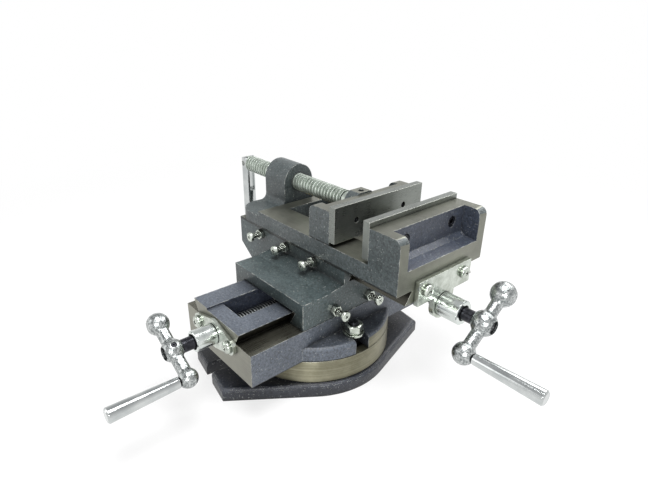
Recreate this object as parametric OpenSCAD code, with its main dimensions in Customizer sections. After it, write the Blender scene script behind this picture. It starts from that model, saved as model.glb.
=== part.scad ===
// Cross slide vise on a swivel base.
// Two dovetail slides at right angles carry a drill press vise with a folding handle.
// The origin is the swivel axis at the underside of the base. X runs along the vise
// towards its fixed jaw, Y along the lower slide away from its crank, and Z is up.

/* [Swivel base] */
// Thickness of the base plate
base_t = 11; // [8:0.5:16]
// Height of the turned boss above the plate
boss_h = 19.7; // [16:0.1:30]
// Ledge of plate that shows around the boss
base_ledge = 2.7; // [1:0.1:8]
// Width of each ear at its end
ear_w = 59; // [44:1:80]
// Width of the open hold-down slots
hold_slot_w = 12; // [9:0.5:16]
// Hold-down slot, from the centre of its round end to the end of the ear
hold_slot_l = 19; // [12:1:30]
// Rounding of the upper edge of the plate
base_round = 3; // [1:0.5:4]
// Angle of the base to the slides at rest
base_turn = -10; // [-90:1:90]
// Diameter of the centre pivot
pivot_d = 30; // [20:1:50]
// Height of the centre pivot
pivot_h = 9; // [5:0.5:14]

/* [Swivel bolts] */
// Diameter of the T-bolts
bolt_d = 8; // [6:0.5:9]
// Width of the square heads of the T-bolts
bolt_head_w = 14; // [12:0.5:16]
// Height of the heads of the T-bolts
bolt_head_h = 6; // [4:0.5:8]
// Width across the flats of the nuts
bolt_nut_af = 13; // [11:0.5:15]
// Height of the nuts
bolt_nut_h = 6.8; // [5:0.1:8]
// Diameter of the washers
washer_d = 17; // [15.5:0.5:20]
// Thickness of the washers
washer_t = 1.6; // [1:0.1:2.5]
// Length of the T-bolts above the nuts
bolt_out = 2; // [1:0.5:8]
// Angle of the nuts on their bolts
nut_turn = 26; // [0:1:60]
// Angle of the swivel bolts from the line across the slide
bolt_turn = -3; // [-5:0.5:5]

/* [Lower slide] */
// Width of the lower slide
bed_w = 90.6; // [80:0.2:110]
// Length of the lower slide
bed_len = 184.4; // [165:0.2:240]
// Height of the lower slide under its dovetail
bed_h = 26.5; // [22:0.5:36]
// Thickness of the round swivel flange
flange_t = 11.6; // [8:0.2:14]
// Rounding of the upper edge of the swivel flange
flange_round = 2.8; // [1:0.1:4]
// Width across the top of the lower dovetail
way_w = 64.2; // [54:0.2:72]
// Height of the lower dovetail
way_h = 11; // [8:0.2:14]
// Angle of the dovetail flanks
way_angle = 60; // [50:1:70]
// Drop of the dovetail top beside its left-hand strip
strip_step = 1.5; // [0.5:0.1:3]
// Width of the slot over the lower lead screw
bed_slot_w = 25; // [21:0.5:30]
// Wall left at each end of that slot
bed_end_wall = 13.7; // [10:0.1:20]
// Diameter of the lower lead screw
bed_screw_d = 14; // [10:0.5:16]
// Depth of the lower lead screw axis under the flats of the slide
bed_screw_drop = 3.5; // [0:0.5:6]

/* [Saddle] */
// Offset of the vise centre line from the swivel axis at rest
vise_y = 42.7; // [0:0.1:60]
// Width of the saddle over the lower slide
saddle_w = 90; // [80:0.5:110]
// Length of the low shelf in front of the upper block
shelf_l = 40.4; // [25:0.2:60]
// Height of the low shelf above the lower slide
shelf_h = 21.8; // [16:0.2:26]
// Run of the ramp from the shelf up to the upper block
ramp_l = 18; // [8:0.5:24]
// Rise of the ramp
ramp_h = 3; // [1:0.2:6]
// Reach of the left-hand wing past the lower block
wing_l = 54; // [46:0.5:80]
// Run of the chamfer under the wing
wing_chamfer_run = 16; // [6:0.5:24]
// Rise of the chamfer under the wing
wing_chamfer_rise = 12; // [6:0.5:16]
// Thickness of the web between the two dovetail grooves
web_t = 14.2; // [13:0.2:20]
// Set-in of the sides of the upper block from those of the vise
block_inset = 1.3; // [0.3:0.1:3]
// Thickness of the gib strips
gib_t = 3; // [2:0.1:3.6]
// Diameter of the gib screws
gib_screw_d = 5; // [4:0.5:6]
// Length of a gib screw that stands out of its face
gib_screw_out = 14; // [10:0.5:18]
// Spacing of the upper gib screws
gib_pitch = 36.5; // [30:0.5:44]
// Length of the lead screw nuts
nut_l = 18; // [12:0.5:24]

/* [Vise body] */
// Width of the vise and its jaws
body_w = 100; // [94:0.5:120]
// Length of the vise body
body_len = 199.4; // [180:0.2:240]
// Right-hand end of the vise body at rest
body_end = 97.4; // [80:0.2:110]
// Thickness of the rails
body_t = 14.4; // [11:0.2:20]
// Radius of the left-hand corners
body_corner = 20; // [8:1:28]
// Width of the upper dovetail at its root
top_way_w = 67.6; // [60:0.2:72]
// Height of the upper dovetail
top_way_h = 10.5; // [9:0.1:14]
// Wall between the slot and the root of the upper dovetail
rail_wall = 4.8; // [3:0.1:7]
// Width of the lip that holds the jaw keeper down
rail_lip = 5; // [3:0.1:7]
// Thickness of that lip
rail_lip_t = 6.9; // [5:0.1:8.5]
// Drop from the machined rails to the cast top on the left
rail_step = 4.2; // [1:0.1:6]
// Diameter of the upper lead screw
top_screw_d = 9; // [8:0.5:10]

/* [Jaws] */
// Thickness of the fixed jaw casting
jaw_t = 28.4; // [22:0.2:36]
// Thickness of the moving jaw casting
moving_jaw_t = 23.4; // [20:0.2:30]
// Height of the jaw castings above the rails
jaw_h = 27.7; // [24:0.1:36]
// Thickness of the front wall of a jaw casting
jaw_wall = 13.5; // [10:0.5:16]
// Thickness of the ribs at the ends of a jaw casting
jaw_rib = 9; // [6:0.5:14]
// Rounding of the rear top corners of the ribs
jaw_round = 6; // [2:0.5:8]
// Thickness of the jaw plates
plate_t = 6; // [4:0.5:9]
// Height of the jaw plates
plate_h = 28.8; // [24:0.2:36]
// Gap between the rails and the jaw plates
plate_lift = 3; // [1:0.2:5]
// Spacing of the jaw plate screws
plate_pitch = 54; // [40:1:70]
// Opening of the jaws at rest
jaw_gap = 29.1; // [5:0.1:60]

/* [Vise screw and handle] */
// Diameter of the vise screw
vise_screw_d = 16; // [14:0.5:18]
// Height of the vise screw axis above the rails
vise_screw_rise = 17; // [14.5:0.5:18]
// Thickness of the lug that the vise screw runs through
lug_t = 30.5; // [22:0.5:40]
// Width of the lug
lug_w = 33; // [26:0.5:40]
// Diameter of the folding handle
handle_d = 13; // [11:0.5:14]
// Length of the folding handle below its pin
handle_len = 74; // [60:1:110]
// Depth of the fork slot below the pin
fork_l = 29.5; // [12:0.5:36]
// Thickness of the flat tongue on the vise screw
tongue_t = 5.2; // [4:0.1:6]
// Diameter of the handle pin
handle_pin_d = 5; // [4:0.5:6]

/* [Bearings and cranks] */
// Diameter of the plain shafts that carry the cranks
shaft_d = 10; // [8:0.5:11]
// Diameter of the collar on the front shaft
front_collar_d = 16; // [14:0.5:20]
// Length of the collar on the front shaft
front_collar_l = 16.5; // [10:0.5:24]
// Diameter of the dial on the right-hand shaft
right_dial_d = 19; // [15:0.5:22]
// Length of the dial on the right-hand shaft
right_dial_l = 18.5; // [12:0.5:28]
// Thickness of the front bearing plate
front_plate_t = 3; // [2:0.5:5]
// Thickness of the right-hand bearing plate
right_plate_t = 4; // [3:0.5:6]
// Half spacing of the front bearing screws
front_screw_pitch = 21.5; // [18:0.5:26]
// Half spacing of the right-hand bearing screws
right_screw_pitch = 22; // [16:0.5:25]
// Bare shaft between a collar and its hub ball
shaft_show = 8.5; // [3:0.5:12]
// Diameter of the hub ball and the counter ball of the front crank
front_hub_d = 16.5; // [15:0.5:22]
// Diameter of the grip ball of the front crank
front_tip_d = 14; // [12:0.5:18]
// Distance from ball to ball of the front crank
front_pitch = 23.5; // [20:0.5:30]
// Length of the front grip from the centre of its ball
front_grip_l = 55; // [40:1:70]
// Diameter of the hub ball and the counter ball of the right-hand crank
right_hub_d = 19; // [15:0.5:24]
// Diameter of the grip ball of the right-hand crank
right_tip_d = 16.5; // [12:0.5:20]
// Distance from ball to ball of the right-hand crank
right_pitch = 26; // [22:0.5:34]
// Length of the right-hand grip from the centre of its ball
right_grip_l = 59; // [45:1:80]
// Diameter of the crank arms
arm_d = 8.4; // [7:0.2:10]
// Diameter of a grip at its ball
grip_neck_d = 8; // [6.5:0.5:10]
// Diameter of a grip at its free end
grip_end_d = 10.8; // [9:0.1:14]
// Tilt of the front crank below level
front_crank_tilt = 28; // [-90:1:90]
// Tilt of the right-hand crank below level
right_crank_tilt = 37; // [-90:1:90]

/* [Clearances] */
// Radial clearance of shafts and screws that turn
run_fit = 0.05; // [0.03:0.01:0.1]
// Clearance between sliding flanks
slide_fit = 0.08; // [0.03:0.01:0.1]
// Clearance over the tops of the dovetails
way_gap = 0.8; // [0.4:0.1:1.2]
// Gap left between faces that pass each other
pass_gap = 0.3; // [0.2:0.05:0.6]
// Film of grease between the boss and the swivel flange
seat_gap = 0.02; // [0.01:0.01:0.05]
// Radial clearance of fixed screws in their holes
screw_fit = 0.05; // [0.03:0.01:0.1]

/* [Hidden] */
$fn = 96;
// Overrun of cuts, and the overlap that joins stacked shapes
cut = 1;
skin = 0.01;

paint = "#3d4148";
saddle_paint = "#4d5556";
bare_iron = "#7d7a72";
zinc = "#c9ccc6";
chrome = "#d9dadb";
black = "#1d1d1f";
bronze = "#a98a4e";

// Heights, from the bench up
boss_top = base_t + boss_h;
flange_top = boss_top + flange_t;
bed_top = boss_top + bed_h;
way_top = bed_top + way_h;
ceiling = way_top + way_gap;
shelf_top = bed_top + shelf_h;
floor_z = ceiling + web_t;
top_way_foot = floor_z + way_gap;
saddle_top = top_way_foot + top_way_h;
rail_top = saddle_top + body_t;
cast_top = rail_top - rail_step;
lip_foot = rail_top - rail_lip_t;
jaw_top = rail_top + jaw_h;
vise_screw_z = rail_top + vise_screw_rise;
plate_foot = rail_top + plate_lift;
plate_screw_z = plate_foot + plate_h / 2;

// Dovetails: the flanks lean by flank for each unit of height
flank = 1 / tan(way_angle);
gib_run = gib_t / sin(way_angle);
way_root = way_w / 2 - way_h * flank;
top_root = top_way_w / 2;
top_foot = top_root + top_way_h * flank;

// Swivel: the bolts stand just outside the lower slide, and the boss and plate follow them
washer_gap = 0.2;
t_neck_gap = 0.5;
t_head_gap = 0.8;
t_head_drop = 0.6;
t_entry_gap = 0.2;
t_neck_h = 7;
boss_wall = 4;
bolt_r = bed_w / 2 + washer_d / 2 + washer_gap;
t_neck = bolt_d / 2 + t_neck_gap;
t_head = bolt_head_w / 2 + t_head_gap;
t_head_h = bolt_head_h + t_head_drop;
t_entry_r = bolt_head_w / sqrt(2) + t_entry_gap;
bolt_head_gap = 0.2;
boss_r = bolt_r + t_head + boss_wall;
flange_r = boss_r - pass_gap;
base_r = boss_r + base_ledge;
notch_room = 5;
notch_w = bolt_d + notch_room;
hold_slot_gap = 4.2;
hold_slot_y = boss_r + hold_slot_gap + hold_slot_w / 2;
ear_end = hold_slot_y + hold_slot_l;
boss_groove_w = 1.2;
boss_groove_d = 1;
edge_steps = 3;
edge_slice = 0.05;
edge_fn = 72;

// Lower slide
bed_screw_z = bed_top - bed_screw_drop;
bed_screw_r = bed_screw_d / 2;
slot_end = bed_len / 2 - bed_end_wall;
nut_skin = 2.5;
bed_nut_foot = bed_screw_z - bed_screw_r - nut_skin;
nut_floor_gap = 0.5;
bed_slot_floor = bed_nut_foot - nut_floor_gap;
screw_end_gap = 2;
bearing_screw_d = 5;
bearing_screw_l = 10;

// Saddle
block_half = body_w / 2 - block_inset;
block_y0 = vise_y - block_half;
block_y1 = vise_y + block_half;
shelf_y = block_y0 - shelf_l;
saddle_x = saddle_w / 2;
wing_x = -saddle_x - wing_l;
top_screw_r = top_screw_d / 2;
groove_gap = 0.5;
groove_r = top_screw_r + groove_gap;
screw_pass = 0.6;
top_screw_z = way_top + screw_pass + top_screw_r;
channel_half = way_w / 2 + way_gap * flank + slide_fit;
top_nut_wall = 4.2;
top_nut_side = 3.5;
top_nut_skin = 4;
top_nut_x = -channel_half - top_nut_wall - nut_l / 2;
top_nut_half = top_screw_r + top_nut_side;
top_nut_foot = top_screw_z - top_screw_r - top_nut_skin;
top_nut_flange = 19;
top_nut_flange_t = 4;
top_nut_screw_y = 14;
nut_screw_d = 5;
nut_screw_head_d = 9;
nut_screw_l = 13;
bed_nut_set = 27.7;
bed_nut_y = vise_y - bed_nut_set;
bed_nut_gap = 2;
bed_nut_half = bed_slot_w / 2 - bed_nut_gap;
nut_post_d = 14;
nut_post_cover = 4;
nut_post_top = floor_z - nut_post_cover;
post_screw_l = 12;

// Gib screws: the lower row is on the right face, the upper row on the front face. Heads and
// nuts are in proportion to the screw, and the tips stop where the leaning gib meets them
gib_nut_af = gib_screw_d * 1.6;
gib_nut_h = gib_screw_d * 0.8;
gib_head_d = gib_screw_d * 1.7;
gib_head_h = gib_screw_d * 0.6;
gib_margin = 0.5;
gib_hole_run = 4;
gib_tip_gap = gib_screw_d / 2 * flank;
low_gib_share = 0.59;
low_gib_set = 21.7;
up_gib_share = 0.38;
up_gib_set = 0.5;
low_gib_z = bed_top + low_gib_share * way_h;
low_gib_x = way_root + (low_gib_z - bed_top) * flank + gib_run + 2 * slide_fit;
low_gib_ys = [for (i = [-1 : 1]) vise_y - low_gib_set + i * gib_pitch];
up_gib_z = top_way_foot + up_gib_share * top_way_h;
up_gib_y = vise_y - top_root - (saddle_top - up_gib_z) * flank - gib_run - 2 * slide_fit;
up_gib_xs = [for (i = [-1 : 1]) (wing_x + saddle_x) / 2 - up_gib_set + i * gib_pitch];

// Vise body, measured from the vise centre line
body_x0 = body_end - body_len;
lug_x1 = body_x0 + lug_t;
fixed_face = body_end - jaw_t - plate_t;
lug_ledge = 4.5;
slot_lead = 16.5;
slot_stop = 3;
rails_x0 = lug_x1 + lug_ledge;
pocket_half = top_root - rail_wall;
slot_half = pocket_half - rail_lip;
slot_x0 = lug_x1 + slot_lead;
slot_x1 = body_end - jaw_t - slot_stop;
way_x0 = body_x0 + body_corner / 2;
lug_fillet = 6;

// Jaws
moving_face = fixed_face - jaw_gap;
moving_front = moving_face - plate_t;
moving_rear = moving_front - moving_jaw_t;
jaw_boss_r = 14;
jaw_boss_rise = 12.4;
jaw_boss_top = vise_screw_z + jaw_boss_rise;
pocket_lip = 2.4;
pocket_ramp = 4;
pocket_ramp_foot = 1;
jaw_screw_d = 5;
jaw_screw_head_d = 8.5;
jaw_screw_head_h = 5;
jaw_screw_short = 1.5;
jaw_head_in = 0.5;
jaw_bore_d = 9.2;
tongue_l = 13.9;
tongue_gap = 0.5;
tongue_x0 = moving_front - tongue_l;
keeper_t = 5.8;
keeper_l = 14.9;
keeper_gap = 0.2;
keeper_top = lip_foot - keeper_gap;
keeper_x0 = moving_front - keeper_l;
keeper_screw_set = 7.4;
keeper_screw_in = 12;
keeper_screw_x = moving_front - keeper_screw_set;
keeper_screw_y = slot_half / 2;
keeper_screw_d = 6;
keeper_head_d = 10;
keeper_head_h = 4;
spigot_d = 11;
spigot_l = 12.6;
neck_d = 8.4;
neck_w = 4.6;
neck_set = 6.3;
neck_x = moving_rear + neck_set;
lock_d = 5;
lock_tip_d = 4;
lock_in = 1.5;
lock_tip_gap = 0.2;
lock_shank_gap = 0.4;

// Vise screw and handle: with the jaws closed, tail_out of the screw still clears the lug
handle_r = handle_d / 2;
tail_out = 19.6;
shoulder_x = body_x0 - jaw_gap - tail_out;
pin_x = shoulder_x - handle_r - pass_gap;
fork_w = tongue_t + pass_gap;

// Cranks
hub_seat = 1.4;
shaft_in = 3.5;
set_screw_in = 1;
ball_flat = 0.43;
front_plate_y = -bed_len / 2 - front_plate_t;
right_plate_x = body_end + right_plate_t;
front_hub_y = front_plate_y - front_collar_l - shaft_show - front_hub_d / 2 + hub_seat;
right_hub_x = right_plate_x + right_dial_l + shaft_show + right_hub_d / 2 - hub_seat;
collar_edge = 0.6;
collar_mouth_d = 12.4;
collar_mouth_l = 3;
stud_d = 5;
stud_l = 7;
set_screw_d = 4;
lobe_r = 12;
ear_r = 6.5;
right_plate_margin = 9;
right_plate_under = 2;
right_plate_over = 6.5;
right_screw_lift = 1;
right_plate_half = right_screw_pitch + right_plate_margin;
right_plate_foot = top_way_foot - right_plate_under;
right_plate_top = saddle_top + right_plate_over;
right_screw_z = (right_plate_foot + right_plate_top) / 2 + right_screw_lift;
thrust_d = 14;
thrust_l = 4;
pan_d = 9.5;
pan_h = 3.4;
pan_dome = pan_d * 0.62;
flank_in = 0.05;

// Shared shapes

// Draws an X-Z outline and runs it along Y
module along_y(y0, y1) {
    translate([0, y1, 0]) rotate([90, 0, 0]) linear_extrude(y1 - y0) children();
}

// Draws a Y-Z outline and runs it along X
module along_x(x0, x1) {
    translate([x0, 0, 0]) rotate([90, 0, 90]) linear_extrude(x1 - x0) children();
}

// A rod along X
module rod_x(x0, x1, d) {
    translate([x0, 0, 0]) rotate([0, 90, 0]) cylinder(d = d, h = x1 - x0);
}

// A rod along Y
module rod_y(y0, y1, d) {
    translate([0, y1, 0]) rotate([90, 0, 0]) cylinder(d = d, h = y1 - y0);
}

// A hexagon nut standing on Z = 0 with a hole for its screw
module hex_nut(af, h, hole_d) {
    difference() {
        cylinder(d = af / cos(30), h = h, $fn = 6);
        translate([0, 0, -cut]) cylinder(d = hole_d, h = h + 2 * cut);
    }
}

// One arm of a plate: a round of radius r1 at distance d, and straight flanks from there to
// a middle round of radius r0. The flanks end just inside both rounds
module link_arm(r0, r1, d) {
    a = acos((r0 - r1) / d);
    touch0 = (r0 - flank_in) * [cos(a), sin(a)];
    touch1 = [d, 0] + (r1 - flank_in) * [cos(a), sin(a)];
    translate([d, 0]) circle(r1);
    polygon([touch0, touch1, [touch1[0], -touch1[1]], [touch0[0], -touch0[1]]]);
}

// A pan head screw along +Z with its head resting on Z = 0 and its shank below
module pan_screw(d, l) {
    translate([0, 0, -l]) cylinder(d = d, h = l);
    rotate_extrude() intersection() {
        translate([0, pan_h - pan_dome]) circle(pan_dome);
        square([pan_d / 2, pan_h]);
    }
}

// A flat countersunk screw along +Z with its flat head at Z = 0
module flat_screw(d, head_d, l) {
    translate([0, 0, -l]) cylinder(d = d, h = l);
    sink = (head_d - d) / 2;
    translate([0, 0, -sink]) cylinder(d1 = d, d2 = head_d, h = sink);
}

// Swivel base

// The plate seen from above: a round middle with straight tangents to two ears
module base_outline(inset) {
    r = base_r - inset;
    ear = [ear_w / 2 - inset, ear_end - inset];
    a = atan2(ear[1], ear[0]) - acos(r / norm(ear));
    touch = [r * cos(a), r * sin(a)];
    circle(r);
    polygon([
        ear, touch, [touch[0], -touch[1]], [ear[0], -ear[1]],
        -ear, -touch, [-touch[0], touch[1]], [-ear[0], ear[1]]
    ]);
}

module base_plate() {
    linear_extrude(base_t - base_round) base_outline(0);
    hull() {
        for (step = [0 : edge_steps]) {
            a = 90 * step / edge_steps;
            translate([0, 0, base_t - base_round * (1 - sin(a)) - edge_slice])
                linear_extrude(edge_slice)
                    base_outline(edge_slice + base_round * (1 - cos(a)), $fn = edge_fn);
        }
    }
}

module t_slot_section() {
    translate([bolt_r - t_neck, boss_top - t_neck_h - cut])
        square([2 * t_neck, t_neck_h + 2 * cut]);
    translate([bolt_r - t_head, boss_top - t_neck_h - t_head_h])
        square([2 * t_head, t_head_h]);
}

module hold_slot() {
    translate([0, hold_slot_y, -cut]) {
        cylinder(d = hold_slot_w, h = base_t + 2 * cut);
        translate([-hold_slot_w / 2, 0, 0])
            cube([hold_slot_w, hold_slot_l + cut, base_t + 2 * cut]);
    }
}

module swivel_base() {
    color(paint) rotate(base_turn) difference() {
        union() {
            base_plate();
            translate([0, 0, base_t - base_round])
                cylinder(r = boss_r, h = boss_h + base_round - seat_gap);
        }
        rotate_extrude() t_slot_section();
        rotate_extrude() translate([boss_r - boss_groove_d, base_t])
            square([boss_groove_d + cut, boss_groove_w]);
        translate([0, 0, boss_top - pivot_h - pass_gap])
            cylinder(r = pivot_d / 2 + run_fit, h = pivot_h + pass_gap + cut);
        // Entry for the heads of the T-bolts
        translate([0, bolt_r, boss_top - t_neck_h - t_head_h])
            cylinder(r = t_entry_r, h = t_neck_h + t_head_h + cut);
        for (side = [0, 180]) rotate(side) hold_slot();
    }
}

// Lower slide

module lower_way() {
    along_y(-bed_len / 2, bed_len / 2) polygon([
        [-way_root, bed_top - cut], [way_root, bed_top - cut], [way_root, bed_top],
        [way_w / 2, way_top], [-way_w / 2, way_top], [-way_root, bed_top]
    ]);
}

module flange_section() {
    square([flange_r - flange_round, flange_t]);
    square([flange_r, flange_t - flange_round]);
    translate([flange_r - flange_round, flange_t - flange_round]) circle(flange_round);
}

module bottom_slide() {
    color(paint) difference() {
        union() {
            translate([0, 0, boss_top]) rotate_extrude() flange_section();
            translate([-bed_w / 2, -bed_len / 2, boss_top]) cube([bed_w, bed_len, bed_h]);
            lower_way();
            translate([0, 0, boss_top - pivot_h]) cylinder(d = pivot_d, h = pivot_h + cut);
        }
        // Slot over the lead screw, and the lower top from its left edge on
        translate([-bed_slot_w / 2, -slot_end, bed_slot_floor])
            cube([bed_slot_w, 2 * slot_end, way_top - bed_slot_floor + cut]);
        translate([-bed_slot_w / 2, -bed_len / 2 - cut, way_top - strip_step])
            cube([way_w, bed_len + 2 * cut, strip_step + cut]);
        // Open notches for the swivel bolts
        each_swivel_bolt() translate([0, 0, boss_top - cut]) {
            cylinder(d = notch_w, h = flange_t + 2 * cut);
            translate([0, -notch_w / 2, 0]) cube([boss_r, notch_w, flange_t + 2 * cut]);
        }
        translate([0, 0, bed_screw_z]) {
            rod_y(-bed_len / 2 - cut, -slot_end + cut, bed_screw_d + 2 * pass_gap);
            for (side = [-1, 1]) translate([side * front_screw_pitch, -bed_len / 2, 0])
                rod_y(-cut, bearing_screw_l, bearing_screw_d + 2 * screw_fit);
        }
    }
}

module each_swivel_bolt() {
    for (side = [0, 180])
        rotate(side + bolt_turn) translate([bolt_r, 0, 0]) children();
}

module swivel_t_bolts() {
    top = flange_top + washer_t + bolt_nut_h + bolt_out;
    head_top = boss_top - t_neck_h - bolt_head_gap;
    color(black) each_swivel_bolt() {
        translate([-bolt_head_w / 2, -bolt_head_w / 2, head_top - bolt_head_h])
            cube([bolt_head_w, bolt_head_w, bolt_head_h]);
        translate([0, 0, head_top - cut]) cylinder(d = bolt_d, h = top - head_top + cut);
    }
}

module swivel_washers() {
    color(zinc) each_swivel_bolt() translate([0, 0, flange_top]) difference() {
        cylinder(d = washer_d, h = washer_t);
        translate([0, 0, -cut]) cylinder(d = bolt_d + 2 * screw_fit, h = washer_t + 2 * cut);
    }
}

module swivel_nuts() {
    color(zinc) each_swivel_bolt() translate([0, 0, flange_top + washer_t]) rotate(nut_turn)
        hex_nut(bolt_nut_af, bolt_nut_h, bolt_d + 2 * screw_fit);
}

// Front bearing, lead screw and crank

module front_bearing() {
    y1 = -bed_len / 2;
    color(zinc) translate([0, 0, bed_screw_z]) difference() {
        union() {
            along_y(front_plate_y, y1) circle(lobe_r);
            for (side = [0, 180]) along_y(front_plate_y, y1)
                rotate(side) link_arm(lobe_r, ear_r, front_screw_pitch);
        }
        rod_y(front_plate_y - cut, y1 + cut, shaft_d + 2 * run_fit);
        for (side = [-1, 1]) translate([side * front_screw_pitch, 0, 0])
            rod_y(front_plate_y - cut, y1 + cut, bearing_screw_d + 2 * screw_fit);
    }
}

module front_bearing_screws() {
    color(zinc) for (side = [-1, 1])
        translate([side * front_screw_pitch, front_plate_y, bed_screw_z]) rotate([90, 0, 0])
            pan_screw(bearing_screw_d, front_plate_t + bearing_screw_l - cut);
}

module bottom_lead_screw() {
    color(zinc) translate([0, 0, bed_screw_z]) {
        rod_y(-bed_len / 2 + pass_gap, slot_end - screw_end_gap, bed_screw_d);
        rod_y(front_hub_y - front_hub_d / 2 + shaft_in, -bed_len / 2 + pass_gap + cut, shaft_d);
    }
}

// A turned collar on a shaft along +Z, from a bearing plate at Z = 0. Its mouth is bored wider
module feed_collar(d, l) {
    bore_r = shaft_d / 2 + screw_fit;
    mouth_r = collar_mouth_d / 2;
    rotate_extrude() polygon([
        [bore_r, pass_gap], [d / 2, pass_gap], [d / 2, l - collar_edge], [d / 2 - collar_edge, l],
        [mouth_r, l], [mouth_r, l - collar_mouth_l], [bore_r, l - collar_mouth_l]
    ]);
}

module front_collar() {
    color(zinc) translate([0, front_plate_y, bed_screw_z]) rotate([90, 0, 0])
        feed_collar(front_collar_d, front_collar_l);
}

// A three ball crank: the shaft runs along Z, outwards is +Z, and the grip ball is at +X.
// hub_d is the hub and counter ball, tip_d the grip ball, pitch the distance between balls
module ball_crank(hub_d, tip_d, pitch) {
    difference() {
        union() {
            sphere(d = hub_d);
            translate([-pitch, 0, 0]) sphere(d = hub_d);
            translate([pitch, 0, 0]) sphere(d = tip_d);
            rod_x(-pitch, pitch, arm_d);
        }
        cylinder(d = shaft_d + 2 * screw_fit, h = 2 * hub_d, center = true);
        // The counter ball is faced flat on its outer side
        translate([-pitch - hub_d, -hub_d, hub_d * ball_flat]) cube(2 * hub_d);
        translate([pitch, 0, tip_d / 2 - stud_l])
            cylinder(d = stud_d + 2 * screw_fit, h = 2 * stud_l);
        rotate([-90, 0, 0]) cylinder(d = set_screw_d + 2 * screw_fit, h = hub_d);
    }
}

// The tapered grip, with a stud that fills the hole in its ball
module ball_crank_grip(tip_d, pitch, l) {
    root = tip_d / 2;
    edge = 1;
    translate([pitch, 0, 0]) rotate_extrude() polygon([
        [0, root - stud_l], [stud_d / 2, root - stud_l], [stud_d / 2, root],
        [grip_neck_d / 2, root], [grip_end_d / 2, l - edge], [grip_end_d / 2 - edge, l], [0, l]
    ]);
}

module ball_crank_set_screw(hub_d) {
    rotate([-90, 0, 0]) translate([0, 0, shaft_d / 2])
        cylinder(d = set_screw_d, h = hub_d / 2 - shaft_d / 2 - set_screw_in);
}

module at_front_crank() {
    translate([0, front_hub_y, bed_screw_z]) rotate([90, 0, 0])
        rotate(-front_crank_tilt) children();
}

module at_right_crank() {
    translate([right_hub_x, vise_y, top_screw_z]) rotate([0, 90, 0])
        rotate(right_crank_tilt - 90) children();
}

module front_crank() {
    color(chrome) at_front_crank() ball_crank(front_hub_d, front_tip_d, front_pitch);
}

module front_crank_set_screw() {
    color(black) at_front_crank() ball_crank_set_screw(front_hub_d);
}

module front_grip() {
    color(chrome) at_front_crank() ball_crank_grip(front_tip_d, front_pitch, front_grip_l);
}

// Saddle

module lower_channel() {
    along_y(shelf_y - cut, block_y1 + cut) polygon([
        [-way_root - slide_fit + cut * flank, bed_top - cut],
        [way_root + gib_run + 2 * slide_fit - cut * flank, bed_top - cut],
        [way_root + gib_run + 2 * slide_fit + (ceiling - bed_top) * flank, ceiling],
        [-way_root - slide_fit - (ceiling - bed_top) * flank, ceiling]
    ]);
}

module upper_channel() {
    reach = gib_run + 2 * slide_fit;
    along_x(wing_x - cut, saddle_x + cut) translate([vise_y, 0]) polygon([
        [-top_root - reach + cut * flank, saddle_top + cut],
        [top_root + slide_fit - cut * flank, saddle_top + cut],
        [top_root + slide_fit + (saddle_top - floor_z) * flank, floor_z],
        [-top_root - reach - (saddle_top - floor_z) * flank, floor_z]
    ]);
}

module saddle_blank() {
    translate([-saddle_x, shelf_y, bed_top]) cube([saddle_w, block_y1 - shelf_y, shelf_h]);
    along_y(block_y0, block_y1) polygon([
        [wing_x, saddle_top], [wing_x, bed_top + wing_chamfer_rise],
        [wing_x + wing_chamfer_run, bed_top], [saddle_x, bed_top], [saddle_x, saddle_top]
    ]);
    along_x(-saddle_x, saddle_x) polygon([
        [block_y0 - ramp_l, shelf_top - cut], [block_y0 + cut, shelf_top - cut],
        [block_y0 + cut, shelf_top + ramp_h], [block_y0, shelf_top + ramp_h],
        [block_y0 - ramp_l, shelf_top]
    ]);
}

module saddle() {
    hole_d = gib_screw_d + 2 * screw_fit;
    color(saddle_paint) difference() {
        saddle_blank();
        lower_channel();
        upper_channel();
        // Groove for the upper lead screw
        translate([0, vise_y, top_screw_z]) rod_x(wing_x - cut, saddle_x + cut, 2 * groove_r);
        translate([wing_x - cut, vise_y - groove_r, top_screw_z])
            cube([saddle_x - wing_x + 2 * cut, 2 * groove_r, floor_z - top_screw_z + cut]);
        // Seats of the two feed nuts
        translate([top_nut_x, vise_y, 0]) {
            top_nut_blank(slide_fit);
            for (side = [-1, 1]) translate([0, side * top_nut_screw_y, floor_z - nut_screw_l - cut])
                cylinder(d = nut_screw_d + 2 * screw_fit, h = nut_screw_l + cut);
        }
        translate([0, bed_nut_y, ceiling - cut])
            cylinder(d = nut_post_d + 2 * screw_fit, h = nut_post_top - ceiling + cut);
        translate([0, bed_nut_y, floor_z]) flat_screw_hole(nut_post_cover);
        for (y = low_gib_ys) translate([0, y, low_gib_z])
            rod_x(low_gib_x - gib_hole_run, saddle_x + cut, hole_d);
        for (x = up_gib_xs) translate([x, 0, up_gib_z])
            rod_y(block_y0 - cut, up_gib_y + gib_hole_run, hole_d);
    }
}

// A countersunk hole through a wall of thickness t whose face is at Z = 0
module flat_screw_hole(t) {
    d = nut_screw_d + 2 * screw_fit;
    head_d = nut_screw_head_d + 2 * screw_fit;
    sink = (head_d - d) / 2;
    translate([0, 0, -t - cut]) cylinder(d = d, h = t + 2 * cut);
    translate([0, 0, -sink]) cylinder(d1 = d, d2 = head_d, h = sink);
    translate([0, 0, -skin]) cylinder(d = head_d, h = cut);
}

// Gib strips are flat bars ground to the angle of the flanks
module lower_gib() {
    foot = bed_top + gib_margin;
    top = way_top - gib_margin;
    x0 = way_root + slide_fit;
    color(bare_iron) along_y(shelf_y + gib_margin, block_y1 - gib_margin) polygon([
        [x0 + (foot - bed_top) * flank, foot], [x0 + gib_run + (foot - bed_top) * flank, foot],
        [x0 + gib_run + (top - bed_top) * flank, top], [x0 + (top - bed_top) * flank, top]
    ]);
}

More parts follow.
